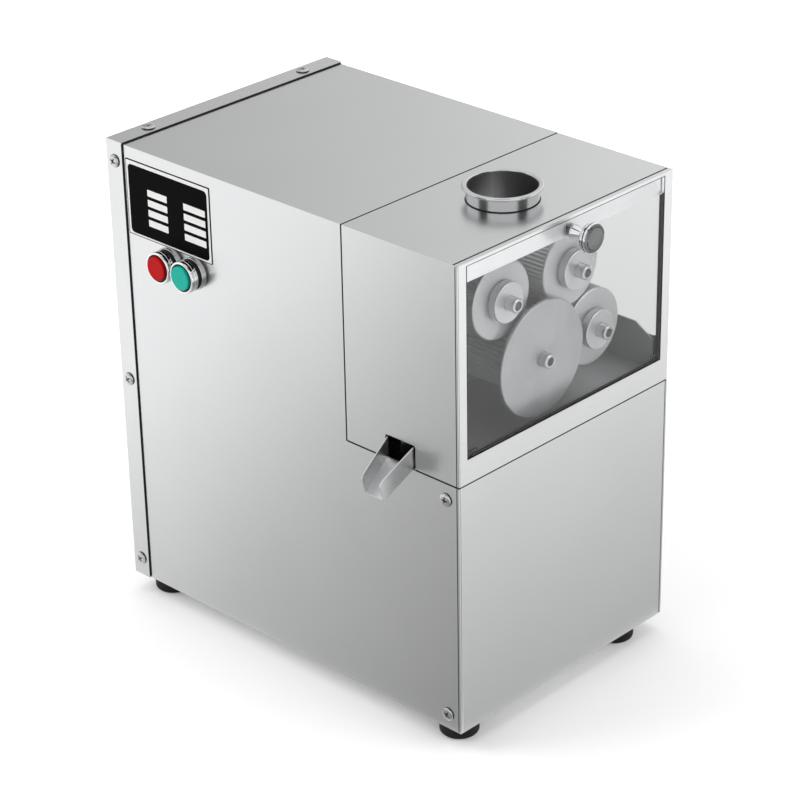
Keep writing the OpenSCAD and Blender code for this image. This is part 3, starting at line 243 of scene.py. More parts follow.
# The first group has the names of the record's slots, and the second paints single pieces.
LOOKS = {
    "brushed_sheet": dict(
        base=cool(0.655), roughness=0.25, metallic=1.0, stretch=ALONG_Y, grain=900.0, depth=0.006,
        mottle=0.010, spread=0.015,
    ),
    "frame_sheet": dict(
        base=cool(0.69), roughness=0.30, metallic=1.0, stretch=ALONG_X, grain=900.0, depth=0.04,
        mottle=0.015, spread=0.03,
    ),
    "tray_sheet": dict(
        base=cool(0.52), roughness=0.42, metallic=0.5, stretch=ALONG_X, grain=700.0, depth=0.06, mottle=0.06,
    ),
    "bright_chrome": dict(base=cool(0.80), roughness=0.07, metallic=1.0, grain=40.0, depth=0.0, spread=0.03),
    "zinc_fastener": dict(base=(0.56, 0.56, 0.57), roughness=0.22, metallic=1.0, grain=900.0, depth=0.04),
    "roller_steel": dict(
        base=cool(0.58), roughness=0.46, metallic=0.5, grain=1500.0, depth=0.10, mottle=0.08,
    ),
    "turned_steel": dict(
        base=cool(0.61), roughness=0.30, metallic=0.75, depth=0.008, mottle=0.08, marks=350.0,
    ),
    "gear_steel": dict(base=cool(0.30), roughness=0.40, metallic=1.0, grain=900.0, depth=0.08, mottle=0.12),
    "plate_iron": dict(
        base=(0.26, 0.265, 0.275), roughness=0.50, metallic=1.0, grain=300.0, depth=0.12, mottle=0.12,
    ),
    "black_rubber": dict(
        base=(0.010, 0.010, 0.011), roughness=0.62, grain=1600.0, depth=0.20, mottle=0.2, shine=0.2,
    ),
    "black_plastic": dict(
        base=(0.008, 0.008, 0.009), roughness=0.38, grain=1800.0, depth=0.10, mottle=0.2, shine=0.2,
    ),
    "red_plastic": dict(
        base=(0.50, 0.004, 0.006), roughness=0.30, grain=900.0, depth=0.03, mottle=0.06, shine=0.05,
    ),
    "green_plastic": dict(
        base=(0.004, 0.44, 0.34), roughness=0.30, grain=900.0, depth=0.03, mottle=0.06, shine=0.12,
    ),
    "motor_paint": dict(base=(0.045, 0.052, 0.065), roughness=0.42, grain=700.0, depth=0.08, mottle=0.10),
    "bare_aluminium": dict(
        base=cool(0.62), roughness=0.32, metallic=1.0, stretch=ALONG_Z, grain=700.0, depth=0.05,
    ),
    "plate_enamel": dict(
        base=(0.002, 0.002, 0.002), roughness=0.45, grain=1200.0, depth=0.04, mottle=0.2, shine=0.02,
    ),

    "white_enamel": dict(base=(0.80, 0.80, 0.79), roughness=0.35, grain=1200.0, depth=0.04, mottle=0.03),
    "front_sheet": dict(
        base=cool(0.655), roughness=0.25, metallic=1.0, stretch=ALONG_X, grain=900.0, depth=0.006,
        mottle=0.010, spread=0.015,
    ),
    "dull_bore": dict(
        base=(0.21, 0.21, 0.213), roughness=0.45, metallic=1.0, stretch=ALONG_Z, grain=600.0, depth=0.05,
        mottle=0.10,
    ),
    # Dark metal for the pivot pins, and also the colour of the painted shade on the screws and in the knob's
    # groove.
    "dark_pin_and_shade": dict(base=(0.05, 0.05, 0.05), roughness=0.45, metallic=1.0, grain=900.0, depth=0.05),
    "bright_fold": dict(
        base=cool(0.97), roughness=0.50, metallic=0.80, stretch=ALONG_X, grain=900.0, depth=0.03,
        mottle=0.01, spread=0.03,
    ),
    "tube_steel": dict(base=cool(0.62), roughness=0.15, metallic=1.0, grain=40.0, depth=0.0, spread=0.03),
    "shaft_steel": dict(base=cool(0.55), roughness=0.22, metallic=1.0, grain=900.0, depth=0.03),
    "disc_steel": dict(
        base=cool(0.47), roughness=0.38, metallic=0.5, depth=0.008, mottle=0.05, marks=350.0, broad=45.0,
    ),
}
MATERIALS = {name: surface(name, **look) for name, look in LOOKS.items()}
MATERIALS["clear_acrylic"] = clear_acrylic()
RUBBER_AND_SHADE = MATERIALS["black_rubber"]
WHITE = MATERIALS["white_enamel"]
DARK_PIN_AND_SHADE = MATERIALS["dark_pin_and_shade"]
PAINT_OF = {
    "front_panel": MATERIALS["front_sheet"],
    "knob": knob_chrome_painted_dark_face(),
    "pivot_pins": DARK_PIN_AND_SHADE,
    "feed_tube": MATERIALS["tube_steel"],
    "juice_spout": spout_with_painted_shade(),
    "juice_tray": tray_with_painted_shade(),
    "centre_disc": MATERIALS["disc_steel"],
    **{name + "_shaft": MATERIALS["shaft_steel"] for name in ("main", "left", "centre", "right")},
}


# Mesh tools


def dress(name, mesh, nodes, material=None, where=None):
    """Makes a shown piece from a mesh: it rides with its CAD nodes and stands for them."""
    piece = bpy.data.objects.new(name, mesh)
    bpy.context.scene.collection.objects.link(piece)
    if where is not None:
        piece.matrix_world = where
    lead = nodes[0]
    mesh.materials.clear()
    mesh.materials.append(material or PAINT_OF.get(lead) or MATERIALS[SLOT_OF[lead]])
    mesh.shade_smooth()
    mesh.set_sharp_from_angle(angle=SMOOTH_ANGLE)
    normals = piece.modifiers.new("even_shading", "WEIGHTED_NORMAL")
    normals.keep_sharp = True
    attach(piece, BODY_OF[lead])
    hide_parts(*nodes)


def to_mesh(bm, name):
    bmesh.ops.recalc_face_normals(bm, faces=bm.faces)
    mesh = bpy.data.meshes.new(name)
    bm.to_mesh(mesh)
    bm.free()
    return mesh


def ease_node(node, width, steps=2):
    """Shows the CAD node's own shape with its sharp edges eased, as sheet, turned and moulded edges are."""
    bm = bmesh.new()
    bm.from_mesh(frame["nodes"][node].data)
    bmesh.ops.remove_doubles(bm, verts=bm.verts, dist=WELD)
    bmesh.ops.dissolve_limit(bm, angle_limit=FLAT_ANGLE, verts=bm.verts, edges=bm.edges)
    sharp = [e for e in bm.edges if len(e.link_faces) == 2 and e.calc_face_angle() > SMOOTH_ANGLE]
    bmesh.ops.bevel(bm, geom=sharp, offset=width * MM, segments=steps, profile=0.5,
                    affect="EDGES", clamp_overlap=True)
    dress(node + "_shell", to_mesh(bm, node), [node])


def fillet(points, steps=5):
    """Rounds the corners of an outline whose points are (radius, height, corner radius)."""
    made = []
    for i, point in enumerate(points):
        here = Vector(point[:2])
        size = point[2] if len(point) > 2 else 0
        if not size or i in (0, len(points) - 1):
            made.append(here)
            continue
        back = (Vector(points[i - 1][:2]) - here).normalized()
        ahead = (Vector(points[i + 1][:2]) - here).normalized()
        half = back.angle(ahead) / 2
        reach = size / math.tan(half)
        centre = here + (back + ahead).normalized() * (size / math.sin(half))
        start = here + back * reach - centre
        end = here + ahead * reach - centre
        turn = start.angle_signed(end)
        for k in range(steps + 1):
            made.append(centre + Matrix.Rotation(-turn * k / steps, 2) @ start)
    return made


def ring(bm, radius, height, turns):
    """A loop of points round local Z, or a single point on it."""
    return [
        bm.verts.new((
            radius * MM * math.cos(math.tau * k / turns),
            radius * MM * math.sin(math.tau * k / turns),
            height * MM,
        ))
        for k in range(turns if radius > ON_AXIS else 1)
    ]


def bridge(bm, loops, turns):
    """Joins each loop of points to the next with faces."""
    for low, high in zip(loops, loops[1:]):
        for k in range(turns):
            ahead = (k + 1) % turns
            below = [low[k % len(low)], low[ahead % len(low)]]
            above = [high[ahead % len(high)], high[k % len(high)]]
            corners = list(dict.fromkeys(below + above))
            if len(corners) > 2:
                bm.faces.new(corners)


def turned(points, turns=96):
    """A mesh turned about local Z from (radius, height, corner radius) points in millimetres."""
    bm = bmesh.new()
    loops = [ring(bm, radius, height, turns) for radius, height in fillet(points)]
    bridge(bm, loops, turns)
    return bm


def closed(points):
    """A profile that ends where it starts, for a ring or a tube."""
    return points + [points[0]]


def prism(near, far):
    """A solid between two outlines of the same number of points, given in metres."""
    bm = bmesh.new()
    first = [bm.verts.new(spot) for spot in near]
    last = [bm.verts.new(spot) for spot in far]
    bm.faces.new(first)
    bm.faces.new(last)
    for k in range(len(first)):
        ahead = (k + 1) % len(first)
        bm.faces.new((first[k], first[ahead], last[ahead], last[k]))
    return bm


def facing(direction, origin):
    """A place whose local Z looks along the direction."""
    return Matrix.Translation(origin) @ direction.to_track_quat("Z", "Y").to_matrix().to_4x4()


def merged(parts):
    """Joins meshes given as (bmesh, place) into one."""
    whole = bmesh.new()
    for part, where in parts:
        mesh = bpy.data.meshes.new("part")
        part.to_mesh(mesh)
        part.free()
        mesh.transform(where)
        whole.from_mesh(mesh)
        bpy.data.meshes.remove(mesh)
    return whole


def joined(parts):
    """Joins meshes that are already in place into one."""
    return merged([(part, Matrix.Identity(4)) for part in parts])


# Case screws

HEAD_D = 11.6
HEAD_H = 2.4
HEAD_EDGE = 0.35 * HEAD_H
SHANK_D = 4.0
SHANK_LEN = 9.0
CROSS_W = 1.3
CROSS_LEN = 6.0
CROSS_DEPTH = 1.6
CROSS_END_SHARE = 0.35
DOME_POWER = 2.4
FLANGE_SCREW_Y = BODY_D - 9.5
FLANGE_SCREW_Z = (17.0, BASE_H - 31.0, BODY_H - 17.0)
TOP_SCREW_X = (38.0, BODY_W - 38.0)
FRONT_SCREW_Y = 14.0
FRONT_SCREW_Z = (14.0, BASE_H - 14.0)


def screw_head(turns=128, steps=40):
    """A pan head with a cross recess, standing on local Z = 0, on a plain shank."""
    bm = bmesh.new()
    loops = []
    for i in range(steps + 1):
        share = i / steps
        loop = []
        for k in range(turns if i else 1):
            angle = math.tau * k / turns
            radius = HEAD_D / 2 * share
            x, y = radius * math.cos(angle), radius * math.sin(angle)
            z = HEAD_EDGE + (HEAD_H - HEAD_EDGE) * math.sqrt(max(0.0, 1 - share ** DOME_POWER))
            along, across = max(abs(x), abs(y)), min(abs(x), abs(y))
            taper = 1 - along / (CROSS_LEN / 2)
            if across < CROSS_W / 2 and taper > 0:
                z -= CROSS_DEPTH * min(1.0, CROSS_END_SHARE + taper)
            loop.append(bm.verts.new((x * MM, y * MM, z * MM)))
        loops.append(loop)
    underside = ((HEAD_D / 2, 0.0), (SHANK_D / 2, 0.0), (SHANK_D / 2, -SHANK_LEN), (0.0, -SHANK_LEN))
    loops += [ring(bm, radius, height, turns) for radius, height in underside]
    bridge(bm, loops, turns)
    return bm


def recess_shade_arm(spin, length=5.4, width=1.2, end_share=0.4, low=0.6, high=1.5):
    """One arm of a dark block painted as the shade on the floor of a cross recess, tapered to its ends."""
    spots = ((length / 2, end_share), (width / 2, 1.0), (-width / 2, 1.0), (-length / 2, end_share))
    outline = [(x, share * width / 2) for x, share in spots]
    outline += [(x, -share * width / 2) for x, share in reversed(spots)]
    base = [(x * MM, y * MM, low * MM) for x, y in outline]
    top = [(x * MM, y * MM, high * MM) for x, y in outline]
    bm = prism(base, top)
    bm.transform(Matrix.Rotation(math.radians(spin), 4, "Z"))
    return bm


def build_screws():
    """The pan heads along the rear flange and the front edges, each driven to an angle of its own, with a
    dark ring round each head and dark blocks in its recess as painted shade.
    """
    seats = []
    for z in FLANGE_SCREW_Z:
        seats.append((LEFT, place(-SHEET, FLANGE_SCREW_Y, z), 20 + z))
        seats.append((RIGHT, place(BODY_W + SHEET, FLANGE_SCREW_Y, z), 35 + z))
    for x in TOP_SCREW_X:
        seats.append((UP, place(x, FLANGE_SCREW_Y, BODY_H + SHEET), 15 + x))
    for z in FRONT_SCREW_Z:
        seats.append((LEFT, place(0, FRONT_SCREW_Y, z), 50 + z))
        seats.append((RIGHT, place(BODY_W, FRONT_SCREW_Y, z), 65 + z))
    places = [facing(way, seat) @ Matrix.Rotation(math.radians(spin), 4, "Z") for way, seat, spin in seats]
    heads = [(screw_head(), where) for where in places]
    dress("case_screws_cross", to_mesh(merged(heads), "case_screws"), ["case_screws"])
    # Painted shade: a dark ring round the foot of each head and a dark block in each arm of its cross
    # recess.
    rim = closed([(5.0, 0.0), (5.85, 0.0), (5.85, 0.9, 0.2), (5.0, 0.9)])
    rims = [(turned(rim), where) for where in places]
    dress("case_screws_rim_shade", to_mesh(merged(rims), "case_screws_rim_shade"), ["case_screws"], DARK_PIN_AND_SHADE)
    pits = [(recess_shade_arm(spin), where) for where in places for spin in (0.0, 90.0)]
    dress("case_screws_recess_shade", to_mesh(merged(pits), "case_screws_recess_shade"), ["case_screws"], DARK_PIN_AND_SHADE)


# Buttons, knob, feed tube and feet

STOP_INSET = 69.8
BUTTON_PITCH = 29.5
BUTTON_Y = {"stop": BODY_D - STOP_INSET, "start": BODY_D - STOP_INSET - BUTTON_PITCH}
BUTTON_Z = 325.5
KNOB_X = 135.5
KNOB_Z = 405.5
WINDOW_FRONT = 0.25
TUBE_X = 122.4
TUBE_Y = 63.0
TUBE_TURNS = 160
FOOT_X = (23.5, BODY_W - 35.0)
FOOT_Y = (23.5, BODY_D - 23.5)


def build_buttons():
    """Two push buttons: a ring on the sheet, a black collar, a bright bezel and a coloured cap each."""
    bezel = closed([
        (12.1, 6.5), (14.2, 6.5, 0.4), (14.2, 9.4, 0.25), (13.95, 9.7, 0.2), (14.2, 10.0, 0.25),
        (14.2, 13.5, 1.2), (12.1, 13.5, 0.5),
    ])
    collar = closed([
        (5.05, -12.0), (11.0, -12.0, 0.3), (11.0, 2.5), (13.6, 2.5, 0.3), (13.6, 4.1, 0.2),
        (13.2, 4.5, 0.15), (13.6, 4.9, 0.2), (13.6, 6.5, 0.3), (5.05, 6.5),
    ])
    throat = closed([(10.6, 6.5), (12.05, 6.5), (12.05, 13.2, 0.2), (10.6, 13.2, 0.3)])
    base = closed([(11.02, 0.0), (14.5, 0.0), (14.5, 2.5, 0.7), (11.02, 2.5)])
    cap = [
        (0.0, -11.0), (5.0, -11.0), (5.0, 12.0), (10.5, 12.0, 0.3), (10.5, 15.5, 0.9), (7.5, 15.46),
        (0.0, 15.3),
    ]
    places = {name: facing(LEFT, place(0, y, BUTTON_Z)) for name, y in BUTTON_Y.items()}
    fixed = {"button_bezels": [bezel], "button_collars": [collar, throat], "button_base_rings": [base]}
    for node, profiles in fixed.items():
        parts = [(turned(profile), where) for where in places.values() for profile in profiles]
        dress(node + "_turned", to_mesh(merged(parts), node), [node])
    for name, where in places.items():
        dress(name + "_cap", to_mesh(turned(cap), name), [name + "_button"], where=where)


def build_knob():
    """The turned knob on the window, with a dark ring painted as the shade in the groove between the two
    beads of its rim.
    """
    where = facing(FRONT, place(KNOB_X, WINDOW_FRONT, KNOB_Z))
    knob = [
        (0.0, -9.5), (2.5, -9.5, 0.4), (2.5, 0.0), (6.0, 0.0, 0.3), (6.0, 1.5, 0.8), (3.2, 8.7, 3.5),
        (3.2, 10.2, 1.2), (9.0, 14.8, 1.0), (11.9, 15.4, 1.2), (12.75, 17.4, 1.0), (12.1, 18.9, 0.4),
        (12.5, 19.9, 0.8), (11.8, 22.0, 1.0), (10.3, 22.6, 0.3), (9.7, 21.8, 0.2), (9.0, 22.8, 0.3),
        (5.2, 23.3, 1.0), (0.0, 23.5),
    ]
    dress("knob_turned", to_mesh(turned(knob), "knob"), ["knob"], where=where)
    # Painted shade: a dark ring set into the groove between the rim's beads.
    groove = closed([(11.8, 18.4), (12.3, 18.4), (12.3, 19.4), (11.8, 19.4)])
    dress("knob_groove_shade", to_mesh(turned(groove), "knob_groove_shade"), ["knob"], DARK_PIN_AND_SHADE, where)


def build_feed_tube():
    """The cane inlet with its rolled rim, dull bore and a dark bead painted as the shade in the crease at
    its foot.
    """
    where = facing(UP, place(TUBE_X, TUBE_Y, BODY_H))
    tube = closed([
        (28.75, -15.0), (29.75, -15.0, 0.3), (29.75, 10.4, 0.8), (31.8, 10.4, 0.4), (33.05, 10.6, 0.9),
        (33.05, 13.0, 1.1), (30.3, 12.8, 0.5), (28.75, 13.0, 1.0),
    ])
    dress("feed_tube_turned", to_mesh(turned(tube, TUBE_TURNS), "feed_tube"), ["feed_tube"], where=where)
    bore = closed([(28.55, -14.9), (28.85, -14.9), (28.85, 11.6), (28.55, 11.6)])
    bore_mesh = to_mesh(turned(bore, TUBE_TURNS), "feed_tube_bore")
    dress("feed_tube_bore", bore_mesh, ["feed_tube"], MATERIALS["dull_bore"], where)
    # Painted shade: a dark bead round the crease where the tube meets the top.
    bead = closed([(29.7, 0.0), (30.5, 0.0), (30.3, 0.6, 0.2), (29.7, 0.9)])
    bead_mesh = to_mesh(turned(bead, TUBE_TURNS), "feed_tube_foot_shade")
    dress("feed_tube_foot_shade", bead_mesh, ["feed_tube"], RUBBER_AND_SHADE, where)


def build_feet():
    foot = closed([
        (2.3, 0.0), (17.5, 0.0, 0.8), (17.5, -6.5), (16.9, -7.1, 0.3), (16.9, -17.0, 3.4), (6.8, -17.0, 0.6),
        (6.8, -5.0), (2.3, -5.0),
    ])
    parts = [(turned(foot), Matrix.Translation(place(x, y, 0))) for x in FOOT_X for y in FOOT_Y]
    dress("feet_moulded", to_mesh(merged(parts), "feet"), ["feet"])


# Rollers

MAIN = Vector((0.62 * BODY_W, HOOD_Z + 128.8))
ROLLER_FRONT = 26.0
SLEEVE_R = 33.5
SLEEVE_LEN = 92.0
SLEEVE_BORE = 12.52
FLUTES = 60
FLUTE_DEPTH = 1.1
FLUTE_POWER = 2.2
POINTS_PER_FLUTE = 8
COLLAR_R = 17.25
DISC_R = 50.25
SHAFT_HOLE = 6.27
ROLLER_TURNS = 128


def around_main(radius, degrees):
    return MAIN + radius * Vector((math.cos(math.radians(degrees)), math.sin(math.radians(degrees))))


AXES = {
    "main": MAIN,
    "left": around_main(84.0, 180.0),
    "centre": around_main(77.0, 234.5),
    "right": around_main(69.0, 294.0),
}


def fluted():
    """A roller sleeve along local Z: flutes that run out before its front end, eased ends and a bore."""
    # Each station is (height, inset of the edge, share of the flutes' depth).
    stations = (
        (0.0, 1.5, 0.0), (0.35, 0.5, 0.0), (0.9, 0.0, 0.0), (2.2, 0.0, 0.0), (3.4, 0.0, 1.0),
        (SLEEVE_LEN - 0.9, 0.0, 1.0), (SLEEVE_LEN - 0.35, 0.5, 1.0), (SLEEVE_LEN, 1.5, 1.0),
    )
    count = FLUTES * POINTS_PER_FLUTE
    bm = bmesh.new()
    loops = []
    for height, inset, cut in stations:
        loop = []
        for k in range(count):
            wave = 0.5 - 0.5 * math.cos(math.tau * k / POINTS_PER_FLUTE)
            r = min(SLEEVE_R - FLUTE_DEPTH * cut * wave ** FLUTE_POWER, SLEEVE_R - inset)
            angle = math.tau * k / count
            loop.append(bm.verts.new((r * MM * math.cos(angle), r * MM * math.sin(angle), height * MM)))
        loops.append(loop)
    loops += [ring(bm, SLEEVE_BORE, height, count) for height in (SLEEVE_LEN, 0.0)]
    loops.append(loops[0])
    bridge(bm, loops, count)
    return bm


def build_rollers():
    """Four fluted sleeves, three with a collar in front and the centre one with the wide disc."""
    collar = closed([
        (SLEEVE_BORE, 0.0), (15.85, 0.0), (15.85, 1.6, 0.2), (COLLAR_R, 1.6, 0.4), (COLLAR_R, 8.5, 0.9),
        (SHAFT_HOLE, 8.5, 0.2), (SHAFT_HOLE, 6.5), (SLEEVE_BORE, 6.5),
    ])
    disc = closed([
        (SLEEVE_BORE, 0.0), (COLLAR_R, 0.0), (COLLAR_R, 6.5, 0.3), (DISC_R, 6.5, 0.4), (DISC_R, 9.5, 1.1),
        (SHAFT_HOLE, 9.5, 0.2), (SHAFT_HOLE, 6.5), (SLEEVE_BORE, 6.5),
    ])
    for name, (x, z) in AXES.items():
        front = place(x, ROLLER_FRONT, z)
        where = facing(-FRONT, front)
        dress(name + "_sleeve_fluted", to_mesh(fluted(), name), [name + "_sleeve"], where=where)
        end, node = (disc, "centre_disc") if name == "centre" else (collar, name + "_collar")
        dress(node + "_turned", to_mesh(turned(end, ROLLER_TURNS), node), [node], where=facing(FRONT, front))


# Nameplate

CELL_ROWS = 4
CELL_H = 6.0
CELL_PITCH = 9.1
CELL_TOP = 387.4
CELL_COLUMNS = ((327.5, 351.7), (280.9, 307.1))


def slab(low, high, corner, back, face, steps=6):
    """A rounded plate on the left side, from its back to its face, given as outward distances."""
    centres = (
        (high[0] - corner, high[1] - corner, 0), (low[0] + corner, high[1] - corner, 90),
        (low[0] + corner, low[1] + corner, 180), (high[0] - corner, low[1] + corner, 270),
    )
    spots = []
    for cx, cz, first in centres:
        for k in range(steps + 1):
            angle = math.radians(first + 90 * k / steps)
            spots.append((cx + corner * math.cos(angle), cz + corner * math.sin(angle)))
    return prism([place(-back, y, z) for y, z in spots], [place(-face, y, z) for y, z in spots])


def build_nameplate():
    """A dark field in a pale border with a dark edge painted as the shade round the plate, and two columns
    of blank cells.
    """
    # Painted shade: a dark slab a little larger than the pale border, showing as a dark rim.
    edge = slab((275.0, 340.7), (378.0, 409.2), 1.0, 0.0, 0.4)
    dress("nameplate_edge_shade", to_mesh(edge, "nameplate_edge_shade"), ["nameplate"])
    back = slab((275.8, 341.5), (377.2, 408.4), 0.6, 0.0, 0.55)
    dress("nameplate_back", to_mesh(back, "nameplate"), ["nameplate"], WHITE)
    field = slab((278.0, 343.0), (375.0, 405.2), 4.0, 0.5, 0.68)
    dress("nameplate_field", to_mesh(field, "nameplate_field"), ["nameplate"])
    cells = []
    for near, far in CELL_COLUMNS:
        for row in range(CELL_ROWS):
            high = CELL_TOP - row * CELL_PITCH
            cells.append(slab((near, high - CELL_H), (far, high), 0.5, 0.6, 0.8, 2))
    dress("nameplate_cells", to_mesh(joined(cells), "nameplate_cells"), ["nameplate"], WHITE)


# Dark strips painted as shade, and linings

SEAM_FRONT = 123.05
SEAM_REAR = 124.15
SEAM_SUNK = 0.2
SEAM_DEEP = 1.3
SEAM_FOOT = HOOD_Z + 0.5
HEM_LOW = BASE_H + 0.05
HEM_HIGH = HOOD_Z - 0.05
HEM_SUNK = 0.15
HEM_DEEP = 0.8
HEM_FRONT = 0.6
HEM_REAR = 122.5
SPOUT_FRONT = 47.0
SPOUT_REAR = 79.5
FLANGE_SHADE_FRONT = FLANGE_FRONT - 0.7
FLANGE_SHADE_H = 1.1
FLANGE_EASE = 0.3
LINE_FRONT = 1.8
LINE_REAR = 2.7
LINE_PROUD = 0.06
LINE_DEEP = 0.3
LINE_EASE = 0.04
SILL_INSET = 10.1
EDGE_SHADE_FRONT = 0.32
EDGE_SHADE_REAR = 4.68
EDGE_SHADE_FOOT = SILL_Z + 1.25
EDGE_SHADE_LOW = SILL_Z + 1.9
WINDOW_LEFT = 10.75
WINDOW_RIGHT = 249.25
FOLD_LEFT = 10.6
FOLD_RIGHT = 249.4
FOLD_LOW = 401.4
FOLD_HIGH = 417.0
FOLD_FRONT = 5.35
FOLD_REAR = 5.58
NUT_ROOM = 5.3


def strip(low, high, ease=0.12):
    """A straight bar with eased edges, between two cabinet places."""
    bm = bmesh.new()
    bmesh.ops.create_cube(bm, size=1.0)
    middle = (place(*low) + place(*high)) / 2
    size = place(*high) - place(*low)
    bm.transform(Matrix.Translation(middle) @ Matrix.Diagonal(size).to_4x4())
    bmesh.ops.bevel(bm, geom=list(bm.edges), offset=ease * MM, segments=2, profile=0.5, affect="EDGES")
    return bm


def build_cabinet_seam_shade():
    """Dark strips in the seams behind and below the head cover and along the rear flange, painted shade
    where the seams lie in shadow.
    """
    right, top = BODY_W, BODY_H
    seam_top = top - SEAM_SUNK
    # Painted shade: black strips set into each seam and along the rear flange's edge.
    seam_shade_strips = [
        strip((SEAM_SUNK, SEAM_FRONT, SEAM_FOOT), (SEAM_DEEP, SEAM_REAR, seam_top)),
        strip((right - SEAM_DEEP, SEAM_FRONT, SEAM_FOOT), (right - SEAM_SUNK, SEAM_REAR, seam_top)),
        strip((SEAM_SUNK, SEAM_FRONT, top - SEAM_DEEP), (right - SEAM_SUNK, SEAM_REAR, seam_top)),
        strip((HEM_SUNK, HEM_FRONT, HEM_LOW), (HEM_DEEP, SPOUT_FRONT, HEM_HIGH)),
        strip((HEM_SUNK, SPOUT_REAR, HEM_LOW), (HEM_DEEP, HEM_REAR, HEM_HIGH)),
        strip((-LINE_PROUD, LINE_FRONT, 1.0), (LINE_DEEP, LINE_REAR, BASE_H - 0.3), LINE_EASE),
        strip((right - HEM_DEEP, HEM_FRONT, HEM_LOW), (right - HEM_SUNK, HEM_REAR, HEM_HIGH)),
        strip((HEM_DEEP, 0.05, HEM_LOW), (right - HEM_DEEP, HEM_DEEP, HEM_HIGH)),
        strip((-FLANGE_SHADE_H, FLANGE_SHADE_FRONT, 1.0), (0.0, FLANGE_FRONT, top), FLANGE_EASE),
        strip((right, FLANGE_SHADE_FRONT, 1.0), (right + FLANGE_SHADE_H, FLANGE_FRONT, top), FLANGE_EASE),
        strip((0.0, FLANGE_SHADE_FRONT, top), (right, FLANGE_FRONT, top + FLANGE_SHADE_H), FLANGE_EASE),
    ]
    dress("cabinet_seam_shade", to_mesh(joined(seam_shade_strips), "cabinet_seam_shade"), ["casing"], RUBBER_AND_SHADE)


def build_head_seam_shade():
    """Dark lines where the frame meets the head cover, and a dark strip on the window's sill, all painted
    shade.
    """
    inset, seam_front, seam_rear = 1.6, 4.3, 5.9
    line_top = BODY_H - 0.6
    # Painted shade: black strips in the seams round the frame and along the sill.
    seam_shade_strips = [
        strip((inset, seam_front, line_top), (BODY_W - inset, seam_rear, BODY_H + LINE_PROUD), LINE_EASE),
        strip((-LINE_PROUD, LINE_FRONT, HOOD_Z + 0.3), (LINE_DEEP, LINE_REAR, line_top), LINE_EASE),
        strip((SILL_INSET, 0.15, SILL_Z), (BODY_W - SILL_INSET, 4.9, SILL_Z + 0.6), 0.1),
    ]
    dress("head_seam_shade", to_mesh(joined(seam_shade_strips), "head_seam_shade"), ["front_frame"], RUBBER_AND_SHADE)


def build_window_edge_shade():
    """Dark strips painted as the shade along the window's foot and both its sides, wide on the right."""
    thin_edge, wide_edge, wide_top = WINDOW_LEFT + 0.6, WINDOW_RIGHT - 2.95, 401.0
    # Painted shade: black strips where the pane's edges and the frame lie in shadow.
    edge_shade_strips = [
        strip((WINDOW_LEFT, EDGE_SHADE_FRONT, EDGE_SHADE_FOOT), (WINDOW_RIGHT, EDGE_SHADE_REAR, EDGE_SHADE_LOW)),
        strip((WINDOW_LEFT, EDGE_SHADE_FRONT, EDGE_SHADE_LOW), (thin_edge, EDGE_SHADE_REAR, WINDOW_TOP - 0.05)),
        strip((wide_edge, EDGE_SHADE_FRONT, EDGE_SHADE_LOW), (WINDOW_RIGHT, EDGE_SHADE_REAR, wide_top)),
    ]
    dress("window_edge_shade", to_mesh(joined(edge_shade_strips), "window_edge_shade"), ["window"], RUBBER_AND_SHADE)


def build_linings():
    """Thin linings: a bright one on the fold behind the window, cut round the nut, and a white side one."""
    notch_left, notch_right, notch_top = KNOB_X - NUT_ROOM, KNOB_X + NUT_ROOM, KNOB_Z + NUT_ROOM
    outline = [
        (FOLD_LEFT, FOLD_LOW), (notch_left, FOLD_LOW), (notch_left, notch_top), (notch_right, notch_top),
        (notch_right, FOLD_LOW), (FOLD_RIGHT, FOLD_LOW), (FOLD_RIGHT, FOLD_HIGH), (FOLD_LEFT, FOLD_HIGH),
    ]
    fold = prism([place(x, FOLD_FRONT, z) for x, z in outline], [place(x, FOLD_REAR, z) for x, z in outline])
    bright = MATERIALS["bright_fold"]
    dress("apron_lining", to_mesh(fold, "apron_lining"), ["hood"], bright)
    inner_face = BODY_W - SHEET - 0.05
    side = strip((inner_face - 0.35, 5.9, HOOD_Z + 2.0), (inner_face, 11.9, FOLD_HIGH), 0.05)
    dress("side_lining", to_mesh(side, "side_lining"), ["hood"], WHITE)


# Every piece

build_screws()
build_buttons()
build_knob()
build_feed_tube()
build_feet()
build_rollers()
build_nameplate()
build_cabinet_seam_shade()
build_head_seam_shade()
build_window_edge_shade()
build_linings()

REMADE = {
    "case_screws", "button_bezels", "button_collars", "button_base_rings", "stop_button", "start_button",
    "knob", "feed_tube", "feet", "nameplate", "centre_disc",
    *(name + "_sleeve" for name in AXES), *(name + "_collar" for name in AXES),
}
EASE = 0.3
EASE_OF = {
    "casing": 0.6, "hood": 0.6, "front_panel": 0.6, "rear_cover": 0.5, "front_frame": 0.6, "window": 0.35,
    "base_plate": 0.4,
}
for node in sorted(set(BODY_OF) - REMADE):
    ease_node(node, EASE_OF.get(node, EASE))


# Studio, in metres

SHEET_TONE = 0.66
DISPLAY_GAMMA = 2.2
CARD_Z = 0.002
FLOOR_REACH = 6.0
OBJECT_MIDDLE = Vector((0, 0, 0.3))


def quad(name, corners, material):
    mesh = bpy.data.meshes.new(name)
    mesh.from_pydata(corners, [], [(0, 1, 2, 3)])
    mesh.materials.append(material)
    sheet = bpy.data.objects.new(name, mesh)
    bpy.context.scene.collection.objects.link(sheet)
    return sheet


